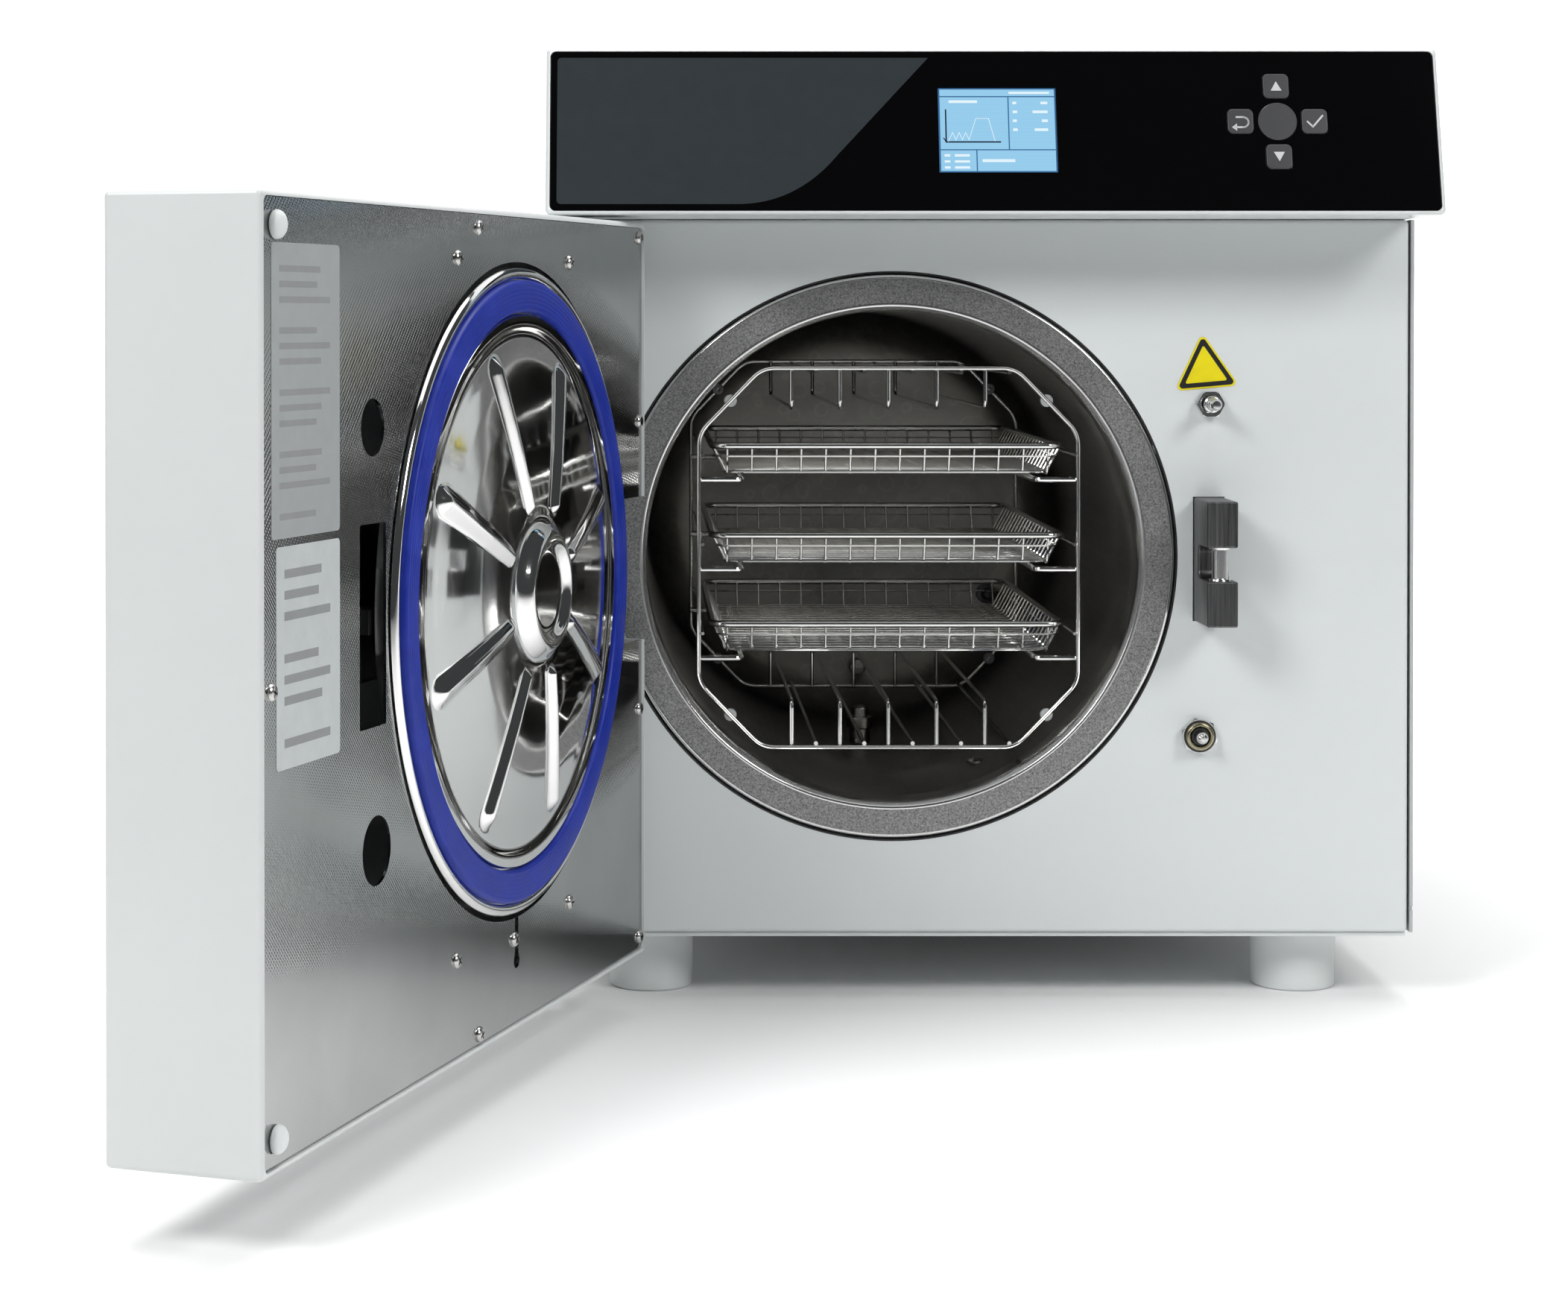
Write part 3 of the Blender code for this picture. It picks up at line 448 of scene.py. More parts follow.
def plan_centre(node):
    """A CAD part's middle seen from above, in the machine's frame."""
    low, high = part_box(node)
    return (((low.x + high.x) / 2 - MACHINE_X) / MM, ((low.y + high.y) / 2 - MACHINE_Y) / MM)


def box(x, y, z):
    bm = bmesh.new()
    corners = [bm.verts.new((a, b, c)) for c in z for b in y for a in x]
    for ids in ((0, 2, 3, 1), (4, 5, 7, 6), (0, 1, 5, 4), (1, 3, 7, 5), (3, 2, 6, 7), (2, 0, 4, 6)):
        bm.faces.new([corners[i] for i in ids])
    return bm


def prism(outline, axis, ends):
    """A flat outline pushed along an axis; the outline's pair is the other two axes in order."""
    bm = bmesh.new()
    rings = []
    for end in ends:
        ring = []
        for pair in outline:
            point = list(pair)
            point.insert("XYZ".index(axis), end)
            ring.append(bm.verts.new(point))
        rings.append(ring)
    bm.faces.new(rings[0])
    bm.faces.new(rings[1])
    for i in range(len(outline)):
        j = (i + 1) % len(outline)
        bm.faces.new((rings[0][i], rings[0][j], rings[1][j], rings[1][i]))
    bmesh.ops.recalc_face_normals(bm, faces=bm.faces)
    return bm


def arc(centre, radius, start, end, steps):
    """Points on an arc between two angles in degrees."""
    points = []
    for i in range(steps + 1):
        turn = math.radians(start + (end - start) * i / steps)
        points.append((centre[0] + radius * math.cos(turn), centre[1] + radius * math.sin(turn)))
    return points


def rounded(half_a, half_b, radius, centre=(0, 0), steps=6):
    """Outline of a rectangle with round corners."""
    outline = []
    for quarter, (sa, sb) in enumerate(((1, 1), (-1, 1), (-1, -1), (1, -1))):
        corner = (centre[0] + sa * (half_a - radius), centre[1] + sb * (half_b - radius))
        outline += arc(corner, radius, 90 * quarter, 90 * quarter + 90, steps)
    return outline


def circle(radius, centre=(0, 0), count=32):
    return arc(centre, radius, 0, 360 * (count - 1) / count, count - 1)


def hexagon(across_flats, centre, turn):
    return arc(centre, across_flats / 2 / math.cos(math.pi / 6), turn, turn + 300, 5)


def rod(radius, axis, centre, ends, count=32):
    return prism(circle(radius, centre, count), axis, ends)


def bridged(bm, spans, count):
    """Joins pairs of rings with faces; a ring of one point closes as a fan."""
    for low, high in spans:
        for i in range(count):
            j = (i + 1) % count
            quad = [low[i % len(low)], low[j % len(low)], high[j % len(high)], high[i % len(high)]]
            bm.faces.new([v for k, v in enumerate(quad) if v not in quad[:k]])
    bmesh.ops.recalc_face_normals(bm, faces=bm.faces)
    return bm


def lathe(profile, axis, centre, count=96):
    """A profile of (radius, along) pairs turned about an axis; a radius of 0 closes it on the axis."""
    bm = bmesh.new()
    rings = []
    for radius, along in profile:
        ring = []
        for i in range(count if radius else 1):
            turn = math.tau * i / count
            point = [centre[0] + radius * math.cos(turn), centre[1] + radius * math.sin(turn)]
            point.insert("XYZ".index(axis), along)
            ring.append(bm.verts.new(point))
        rings.append(ring)
    spans = list(zip(rings, rings[1:]))
    if profile[0][0]:
        spans.append((rings[-1], rings[0]))
    return bridged(bm, spans, count)


def soft_profile(points, radius, steps=4):
    """Rounds the inner corners of an open profile; the ends stay."""
    made = [points[0]]
    for before, here, after in zip(points, points[1:], points[2:]):
        here = Vector(here)
        back = Vector(before) - here
        on = Vector(after) - here
        reach = min(radius, back.length * 0.45, on.length * 0.45)
        start = here + back.normalized() * reach
        finish = here + on.normalized() * reach
        for i in range(steps + 1):
            t = i / steps
            made.append(tuple(start * (1 - t) ** 2 + here * 2 * t * (1 - t) + finish * t * t))
    made.append(points[-1])
    return made


def merged(*meshes):
    """Several meshes as one."""
    bm = bmesh.new()
    for part in meshes:
        loose = bpy.data.meshes.new("loose")
        part.to_mesh(loose)
        part.free()
        bm.from_mesh(loose)
        bpy.data.meshes.remove(loose)
    return bm


def temporary(bm, name="temporary"):
    mesh = bpy.data.meshes.new(name)
    bm.to_mesh(mesh)
    bm.free()
    made = bpy.data.objects.new(name, mesh)
    bpy.context.scene.collection.objects.link(made)
    return made


def evaluated(obj):
    """The object's mesh with its modifiers, as a bmesh; the object is removed."""
    bpy.context.view_layer.update()
    graph = bpy.context.evaluated_depsgraph_get()
    mesh = bpy.data.meshes.new_from_object(obj.evaluated_get(graph))
    bm = bmesh.new()
    bm.from_mesh(mesh)
    bpy.data.meshes.remove(mesh)
    bpy.data.objects.remove(obj)
    return bm


def carved(bm, *tools, operation="DIFFERENCE"):
    """The mesh with each tool cut away from it, or joined to it."""
    body = temporary(bm)
    cutters = [temporary(tool, "cutter") for tool in tools]
    for cutter in cutters:
        step = body.modifiers.new("carve", "BOOLEAN")
        step.operation = operation
        step.solver = "EXACT"
        step.object = cutter
    made = evaluated(body)
    for cutter in cutters:
        bpy.data.objects.remove(cutter)
    return made


def eased(bm, width, segments=3, angle=35):
    """The mesh with its sharp edges rounded."""
    body = temporary(bm)
    step = body.modifiers.new("ease", "BEVEL")
    step.width = width
    step.segments = segments
    step.limit_method = "ANGLE"
    step.angle_limit = math.radians(angle)
    step.use_clamp_overlap = True
    return evaluated(body)


def make(name, bm, finish, *stands_for, place=MACHINE, body="cabinet", slot=None, crease=32):
    """A finished piece: mesh in its frame, finish, the CAD it stands for and the body it rides on."""
    bm.transform(place)
    piece = temporary(bm, name)
    piece.data.materials.append(finish)
    piece.data.shade_smooth()
    piece.data.set_sharp_from_angle(angle=math.radians(crease))
    level = piece.modifiers.new("level", "WEIGHTED_NORMAL")
    level.keep_sharp = True
    bpy.context.view_layer.update()
    graph = bpy.context.evaluated_depsgraph_get()
    mesh = bpy.data.meshes.new_from_object(piece.evaluated_get(graph))
    piece.modifiers.clear()
    piece.data = mesh
    mesh.name = name
    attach(piece, body)
    if stands_for:
        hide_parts(*stands_for)


def turned(name, profile, finish, *stands_for, axis="Y", at=CHAMBER_AT, count=40, **where):
    """A finished piece turned from its profile."""
    make(name, lathe(profile, axis, at, count), finish, *stands_for, **where)


def repaint(finish, *nodes):
    """CAD parts whose shape stands, in a finish of their own."""
    for name in nodes:
        part = frame["nodes"][name]
        part.data.materials.clear()
        part.data.materials.append(finish)


# ---------------------------------------- node trees for what repeats


def new_tree(name, sockets):
    """An empty node tree with named inputs, their identifiers by name, and its input node."""
    tree = bpy.data.node_groups.new(name, "GeometryNodeTree")
    tree.interface.new_socket("Geometry", in_out="INPUT", socket_type="NodeSocketGeometry")
    keys = {}
    for label, (kind, value) in sockets.items():
        made = tree.interface.new_socket(label, in_out="INPUT", socket_type="NodeSocket" + kind)
        if value is not None:
            made.default_value = value
        keys[label] = made.identifier
    tree.interface.new_socket("Geometry", in_out="OUTPUT", socket_type="NodeSocketGeometry")
    return tree, keys, tree.nodes.new("NodeGroupInput")


def join(tree, pairs):
    """Links from one node's output to another's input."""
    for giver, output, taker, entry in pairs:
        tree.links.new(giver.outputs[output], taker.inputs[entry])


def finish_tree(tree, shape, entry):
    """Ends a tree in real geometry with its material."""
    realise = tree.nodes.new("GeometryNodeRealizeInstances")
    paint = tree.nodes.new("GeometryNodeSetMaterial")
    leave = tree.nodes.new("NodeGroupOutput")
    tree.links.new(shape, realise.inputs["Geometry"])
    join(tree, [
        (realise, "Geometry", paint, "Geometry"),
        (entry, "Material", paint, "Material"),
        (paint, "Geometry", leave, "Geometry"),
    ])


def bent_wire_tree():
    """Turns each chain of edges into a round wire with bent corners."""
    tree, keys, entry = new_tree("bent_wire", {
        "Wire radius": ("Float", 1.0),
        "Bend radius": ("Float", 3.0),
        "Bend steps": ("Int", 5),
        "Sides": ("Int", 10),
        "Material": ("Material", None),
    })
    chain = tree.nodes.new("GeometryNodeMeshToCurve")
    bend = tree.nodes.new("GeometryNodeFilletCurve")
    section = tree.nodes.new("GeometryNodeCurvePrimitiveCircle")
    sweep = tree.nodes.new("GeometryNodeCurveToMesh")
    bend.mode = "POLY"
    bend.inputs["Limit Radius"].default_value = True
    sweep.inputs["Fill Caps"].default_value = True
    join(tree, [
        (entry, "Bend radius", bend, "Radius"),
        (entry, "Bend steps", bend, "Count"),
        (entry, "Wire radius", section, "Radius"),
        (entry, "Sides", section, "Resolution"),
        (entry, "Geometry", chain, "Mesh"),
        (chain, "Curve", bend, "Curve"),
        (bend, "Curve", sweep, "Curve"),
        (section, "Curve", sweep, "Profile Curve"),
    ])
    finish_tree(tree, sweep.outputs["Mesh"], entry)
    return tree, keys


def scatter_tree():
    """Puts a copy of one shape on every point, facing one way, each turned about its own axis."""
    tree, keys, entry = new_tree("scattered_fixings", {
        "Shape": ("Object", None),
        "Facing": ("Vector", (0.0, 0.0, 1.0)),
        "Spin": ("Float", math.tau),
        "Seed": ("Int", 7),
        "Material": ("Material", None),
    })
    shape = tree.nodes.new("GeometryNodeObjectInfo")
    spread = tree.nodes.new("GeometryNodeInstanceOnPoints")
    aim = tree.nodes.new("FunctionNodeAlignRotationToVector")
    turn = tree.nodes.new("FunctionNodeRotateRotation")
    spin = tree.nodes.new("FunctionNodeAxisAngleToRotation")
    pick = tree.nodes.new("FunctionNodeRandomValue")
    aim.axis = "Z"
    turn.rotation_space = "LOCAL"
    pick.data_type = "FLOAT"
    spin.inputs["Axis"].default_value = (0, 0, 1)
    join(tree, [
        (entry, "Shape", shape, "Object"),
        (entry, "Facing", aim, "Vector"),
        (entry, "Spin", pick, 3),
        (entry, "Seed", pick, "Seed"),
        (pick, 1, spin, "Angle"),
        (aim, 0, turn, "Rotation"),
        (spin, 0, turn, "Rotate By"),
        (entry, "Geometry", spread, "Points"),
        (shape, "Geometry", spread, "Instance"),
        (turn, 0, spread, "Rotation"),
    ])
    finish_tree(tree, spread.outputs["Instances"], entry)
    return tree, keys


WIRE_TREE, WIRE_KEYS = bent_wire_tree()
SCATTER_TREE, SCATTER_KEYS = scatter_tree()


def run_tree(bm, tree, keys, values):
    body = temporary(bm)
    step = body.modifiers.new(tree.name, "NODES")
    step.node_group = tree
    for label, value in values.items():
        step[keys[label]] = value
    return evaluated(body)


def wires(paths, radius, bend=3.0, closed=False, sides=10, steps=5):
    """Round polished wires along chains of points."""
    bm = bmesh.new()
    for path in paths:
        points = [bm.verts.new(p) for p in path]
        for first, second in zip(points, points[1:]):
            bm.edges.new((first, second))
        if closed:
            bm.edges.new((points[-1], points[0]))
    values = {
        "Wire radius": radius, "Bend radius": bend, "Bend steps": steps, "Sides": sides,
        "Material": WIRE_POLISH,
    }
    return run_tree(bm, WIRE_TREE, WIRE_KEYS, values)


def scattered(name, shape_bm, points, facing, finish, spin=math.tau, seed=7, **where):
    """A piece made of copies of one shape on points, facing one way."""
    shape = temporary(shape_bm, "shape")
    bm = bmesh.new()
    for point in points:
        bm.verts.new(point)
    values = {"Shape": shape, "Facing": facing, "Spin": spin, "Seed": seed, "Material": finish}
    copies = run_tree(bm, SCATTER_TREE, SCATTER_KEYS, values)
    bpy.data.objects.remove(shape)
    make(name, copies, finish, **where)


def screw_head(radius, height):
    """Pan head with a cross recess, facing +Z."""
    floor = height * 0.35
    dome = [(0, -0.4), (radius, -0.4), (radius, floor), (radius * 0.72, height), (0, height)]
    arm = radius * 0.62
    slot = radius * 0.13
    return carved(
        lathe(soft_profile(dome, 0.5, 3), "Z", (0, 0), 24),
        box((-arm, arm), (-slot, slot), (floor, height * 2)),
        box((-slot * 1.02, slot * 1.02), (-arm * 1.02, arm * 1.02), (floor * 1.01, height * 2.1)),
    )


# ---------------------------------------- cabinet


def front_panel():
    """Powder-coated front with folded edges, pierced for the chamber, latch, bolt and switch."""
    depth = 13.8
    wide = (-PANEL_HALF_W, PANEL_HALF_W)
    plate = eased(box(wide, (0, depth), PANEL_Z), 2.3, 5)
    tools = [
        box(inset(wide, SHEET), (SHEET, depth + 5), inset(PANEL_Z, SHEET)),
        rod(145.1, "Y", CHAMBER_AT, PIERCE_PANEL, 200),
        box(inset(LATCH_X, -0.4), PIERCE_PANEL, inset(LATCH_Z, -0.4)),
        rod(4.8, "Y", BOLT_AT, PIERCE_PANEL),
        rod(8.0, "Y", SWITCH_AT, PIERCE_PANEL),
    ]
    make("front_panel_looks", carved(plate, *tools), WHITE_PAINT, "front_panel")


def outer_cover():
    """Wrapped steel cover with bent shoulders, a small notch in each front edge and side screws."""
    low = cover_low.z / MM
    shoulder = 4.6

    def hoop(half, top, radius):
        right = arc((half - radius, top - radius), radius, 0, 90, 8)
        return [(-a, b) for a, b in right] + list(reversed(right))

    outside = hoop(HALF_W, COVER_TOP, shoulder)
    inside = hoop(HALF_W - SHEET, COVER_TOP - SHEET, shoulder - SHEET)
    section = [(-HALF_W, low)] + outside + [(HALF_W, low), (HALF_W - SHEET, low)]
    section += list(reversed(inside)) + [(-HALF_W + SHEET, low)]
    tools = [
        box((-HALF_W - 5, HALF_W + 5), (-5, CONSOLE_Y[1] + 0.3), (CONSOLE_Z[0] - 0.3, COVER_TOP + 10)),
        rod(31.0, "Z", CAP_AT, (COVER_TOP - 10, COVER_TOP + 10), 64),
    ]
    for side in (-1, 1):
        edge = sorted((side * (HALF_W - 3), side * (HALF_W + 3)))
        tools.append(box(edge, (-2, 2.2), (46.5, 48.6)))
    skin = carved(prism(section, "Y", (0.8, REAR_Y)), *tools)
    # The cover's paint is the white front paint darkened: painted shade.
    make("cover_looks", skin, COVER_WHITE_PAINTED_SHADE, "outer_cover")
    for side, hand in SIDES:
        spots = [(side * HALF_W, y, z) for y in (60, REAR_Y - 18) for z in (70, 210, 350)]
        scattered(f"cover_screws_{hand}", screw_head(3.6, 1.9), spots, (side, 0, 0), BRIGHT, seed=11)


def side_louvres():
    """Rows of pressed cooling louvres on both sides of the cover."""
    lip = [(0, 0), (2.2, 0.4), (3.0, 2.6), (2.2, 4.4), (0, 6.0)]
    for side, hand in SIDES:
        blade = eased(prism([(a * side * 0.75, b) for a, b in lip], "Y", (-24, 24)), 0.5, 2, 30)
        x = side * (HALF_W - 0.4)
        spots = [(x, 330 + 62 * column, 90 + 11 * row) for column in range(2) for row in range(9)]
        # The louvres take the cover's darkened white paint: painted shade.
        scattered(f"louvres_{hand}", blade, spots, (0, 0, 1), COVER_WHITE_PAINTED_SHADE, spin=0.0)


def rear_sheet():
    """Zinc rear sheet: fan guard, screws, and vent slots drawn as thin plates of painted shade."""
    repaint(ZINC, "rear_panel")
    spots = [(x, REAR_Y + 0.3, z) for x in (-205, 0, 205) for z in (48, 464)]
    scattered("rear_screws", screw_head(3.6, 1.9), spots, (0, 1, 0), BRIGHT, seed=5)
    rings = []
    for radius in (14, 24, 34, 43):
        rings.append([(a, REAR_Y + 1.2, b) for a, b in circle(radius, FAN_AT, 40)])
    spokes = []
    for turn in (45, 135):
        ends = arc(FAN_AT, 46, turn + 180, turn, 1)
        spokes.append([(a, REAR_Y + 2.4, b) for a, b in ends])
    guard = wires(rings, 0.9, 0.5, closed=True, sides=8, steps=1)
    make("fan_guard", merged(guard, wires(spokes, 1.2, 0.5)), WIRE_POLISH)
    # The vent slots are thin near-black plates on the sheet: painted shade where openings would be.
    slot = prism(rounded(16, 1.6, 1.5), "Z", (0, 0.25))
    y = REAR_Y + 0.2
    spots = [(-150 + 44 * column, y, 250 + 9 * row) for column in range(3) for row in range(10)]
    scattered("rear_slots", slot, spots, (0, 1, 0), OPENING_PAINTED_SHADE, spin=0.0)


def feet():
    """Four round feet, stepped and eased at the bench."""
    outline = soft_profile([(0, 0), (21.6, 0), (22, 31.5), (21, 32.7), (0, 32.7)], 1.8, 4)
    for end in ("front", "rear"):
        for side in ("left", "right"):
            node = f"foot_{end}_{side}"
            turned(node + "_looks", outline, WHITE_FOOT, node, axis="Z", at=plan_centre(node), count=64)


def underside():
    """Base sheet with its rows of intake slots, drawn as thin plates of painted shade."""
    repaint(WHITE_PAINT, "base_plate")
    # The intake slots are thin near-black plates under the sheet: painted shade where openings would be.
    slot = prism(rounded(20, 1.8, 1.7), "Z", (0, 0.2))
    z = PANEL_Z[0] - 2.35
    spots = [(-60 + 60 * column, 170 + 10 * row, z) for column in range(3) for row in range(12)]
    scattered("base_slots", slot, spots, (0, 0, -1), OPENING_PAINTED_SHADE, spin=0.0)


# ---------------------------------------- console


def console_shell():
    """Moulded console body with a recess for the glass."""
    tilt_run = math.tan(TILT) * (CONSOLE_Z[1] - CONSOLE_Z[0])
    side = [
        (CONSOLE_Y[0], CONSOLE_Z[0]), (CONSOLE_Y[0] + tilt_run, CONSOLE_Z[1]),
        (CONSOLE_Y[1], CONSOLE_Z[1]), (CONSOLE_Y[1], CONSOLE_Z[0]),
    ]
    body = eased(prism(side, "X", (-HALF_W, HALF_W)), 2.8, 6)
    hollow = [
        (CONSOLE_Y[0] + 12.5, CONSOLE_Z[0] + 3), (CONSOLE_Y[0] + tilt_run + 10, CONSOLE_Z[1] - 3),
        (CONSOLE_Y[1] + 20, CONSOLE_Z[1] - 3), (CONSOLE_Y[1] + 20, CONSOLE_Z[0] + 3),
    ]
    half_v = SLOPE_LENGTH / 2 - 2.0
    pocket = prism(rounded(217.9, half_v, 3.0, (0, SLOPE_LENGTH / 2), 8), "Y", (-5, 4.0))
    window = box((-211, 211), (-5, 30), (9.0, SLOPE_LENGTH - 12.0))
    to_machine = MACHINE.inverted() @ SLOPE
    pocket.transform(to_machine)
    window.transform(to_machine)
    shell = carved(body, prism(hollow, "X", (-217, 217)), pocket, window)
    make("console_looks", shell, WHITE_SHELL, "console_shell")


def key_spots():
    u, v = KEY_CENTRE
    return {
        "back": ("key_back", (u - KEY_PITCH, v)), "enter": ("key_enter", (u + KEY_PITCH, v)),
        "up": ("key_up", (u, v + KEY_PITCH)), "down": ("key_down", (u, v - KEY_PITCH)),
    }


def console_glass():
    """Black glass front with openings for the display and keys, and its grey printed field."""
    half_v = SLOPE_LENGTH / 2 - 2.3
    pane = prism(rounded(PANE_HALF, half_v, 2.8, (0, SLOPE_LENGTH / 2), 8), "Y", (0.5, 3.7))
    tools = [box(inset(SCREEN_U, -0.2), PIERCE_PANEL, inset(SCREEN_V, -0.2))]
    half = KEY_SIZE / 2 + 0.25
    for _, spot in key_spots().values():
        tools.append(prism(rounded(half, half, 2.7, spot), "Y", PIERCE_PANEL))
    pane = eased(carved(pane, *tools), 0.25, 2)
    make("console_glass_looks", pane, GLASS, "console_glass", place=SLOPE)

    edge = 3.2
    corner = 2
    left = -PANE_HALF + edge + corner
    low, high = edge + 2.4, SLOPE_LENGTH - edge - 2.2
    bend = [Vector(at) for at in ((-77.0, 30.5), (-90.5, 14.0), (-107.0, low), (-126.0, low))]
    field = [(-31.5, high)]
    for i in range(25):
        t = i / 24
        weights = ((1 - t) ** 3, 3 * t * (1 - t) ** 2, 3 * t * t * (1 - t), t ** 3)
        field.append(tuple(sum((b * w for b, w in zip(bend, weights)), Vector((0, 0)))))
    field += arc((left, low + corner), corner, 270, 180, 5)
    field += arc((left, high - corner), corner, 180, 90, 5)
    make("console_print", prism(field, "Y", (0.36, 0.52)), GLASS_GREY, place=SLOPE)
    disc = [(0, 0.25), (9.3, 0.25), (9.6, 0.5), (9.6, 0.6), (0, 0.6)]
    turned("console_disc", disc, KEY_FACE, at=KEY_CENTRE, count=64, place=SLOPE)


def slab(u, v, proud, thickness):
    """A thin plate on the sloping face, between two u and two v."""
    return box(u, (0.5 - proud - thickness, 0.5 - proud), v)


def stroke(points, width, front, thickness=0.1):
    """A flat drawn line on the sloping face."""
    parts = []
    for first, second in zip(points, points[1:]):
        a, b = Vector(first), Vector(second)
        along = (b - a).normalized() * width * 0.4
        across = Vector((-along.y, along.x)).normalized() * width / 2
        ring = [a - along - across, b + along - across, b + along + across, a - along + across]
        parts.append(prism([tuple(p) for p in ring], "Y", (front - thickness, front)))
    return merged(*parts)


def display():
    """Lit display: title bar, chart with a pulsed curve, three value fields and their generic bars."""
    u0, u1 = SCREEN_U
    v0, v1 = SCREEN_V
    glass = box(SCREEN_U, (0.85, 5.6), SCREEN_V)
    make("display_looks", glass, SCREEN_DEEP, "display_screen", place=SLOPE)
    depth = -0.35
    film = 0.06
    left, right = u0 + 0.6, u1 - 0.6
    fields = [
        ((left, right), (v1 - 4.0, v1 - 0.6)),
        ((left, u0 + 34.0), (v0 + 11.8, v1 - 4.6)),
        ((u0 + 34.6, right), (v0 + 11.8, v1 - 4.6)),
        ((left, u0 + 18.0), (v0 + 0.6, v0 + 11.2)),
        ((u0 + 18.6, right), (v0 + 0.6, v0 + 11.2)),
    ]
    panes = merged(*[slab(u, v, depth, film) for u, v in fields])
    make("display_fields", panes, SCREEN_BLUE, place=SLOPE)
    line = 0.5 - depth - film
    axis = stroke([(u0 + 3.4, v0 + 32), (u0 + 3.4, v0 + 15.5), (u0 + 30, v0 + 15.5)], 0.7, line)
    marks = stroke([(u0 + 2.2, v0 + 17.5), (u0 + 3.4, v0 + 15.5)], 0.5, line)
    make("display_axes", merged(axis, marks), SCREEN_DARK, place=SLOPE)
    trace = [(u0 + 4.4, v0 + 15.6)]
    for i in range(3):
        trace += [(u0 + 6.6 + 3.2 * i, v0 + 20.4), (u0 + 8.2 + 3.2 * i, v0 + 16.6)]
    trace += [(u0 + 18.2, v0 + 27.6), (u0 + 24.4, v0 + 27.6), (u0 + 27.4, v0 + 16.0)]
    bars = [
        ((u0 + 5.0, u0 + 19.0), (v1 - 7.6, v1 - 6.2)),
        ((u0 + 21.0, u0 + 37.0), (v0 + 5.2, v0 + 6.6)),
        ((u1 - 23.0, u1 - 3.0), (v1 - 2.9, v1 - 1.8)),
    ]
    for row, (name, value) in enumerate(((1.2, 3.4), (1.4, 7.4), (1.2, 3.0), (1.4, 6.6))):
        low = v1 - 8.2 - 4.6 * row
        bars.append(((u0 + 36.4, u0 + 36.4 + name * 1.6), (low, low + 1.3)))
        bars.append(((u1 - 4.0 - value, u1 - 4.0), (low, low + 1.3)))
    for row in range(3):
        low = v0 + 1.8 + 3.1 * row
        bars += [((u0 + 2.4, u0 + 5.2), (low, low + 1.2)), ((u0 + 7.4, u0 + 14.8), (low, low + 1.2))]
    values = [slab(u, v, depth + film, 0.05) for u, v in bars]
    make("display_values", merged(stroke(trace, 0.28, line), *values), SCREEN_WHITE, place=SLOPE)


def keys():
    """Four soft-cornered keys, each with its raised print: return, tick, up and down."""
    raised = (0.0, 0.12)
    half = KEY_SIZE / 2
    for label, (node, (u, v)) in key_spots().items():
        body = label + "_key"
        face = eased(prism(rounded(half, half, 2.5, (u, v)), "Y", (0.1, 4.2)), 0.5, 3)
        make(node + "_looks", face, KEY_FACE, node, place=SLOPE, body=body)
        if label in ("up", "down"):
            tip = 2.4 if label == "up" else -2.4
            shape = prism([(u - 2.7, v - tip), (u + 2.7, v - tip), (u, v + tip)], "Y", raised)
        elif label == "enter":
            tick = [(u - 3.6, v - 0.2), (u - 1.0, v - 2.9), (u + 3.9, v + 2.8)]
            shape = stroke(tick, 0.85, raised[1], raised[1])
        else:
            hook = arc((u + 1.2, v - 0.5), 2.6, -90, 90, 10)
            path = [(u - 3.2, v - 3.1)] + hook + [(u - 2.0, v + 2.1)]
            arrow = prism([(u - 4.4, v - 3.1), (u - 1.9, v - 5.0), (u - 1.9, v - 1.2)], "Y", raised)
            shape = merged(stroke(path, 0.85, raised[1], raised[1]), arrow)
        make(node + "_glyph", shape, GLYPH, place=SLOPE, body=body)


# ---------------------------------------- chamber


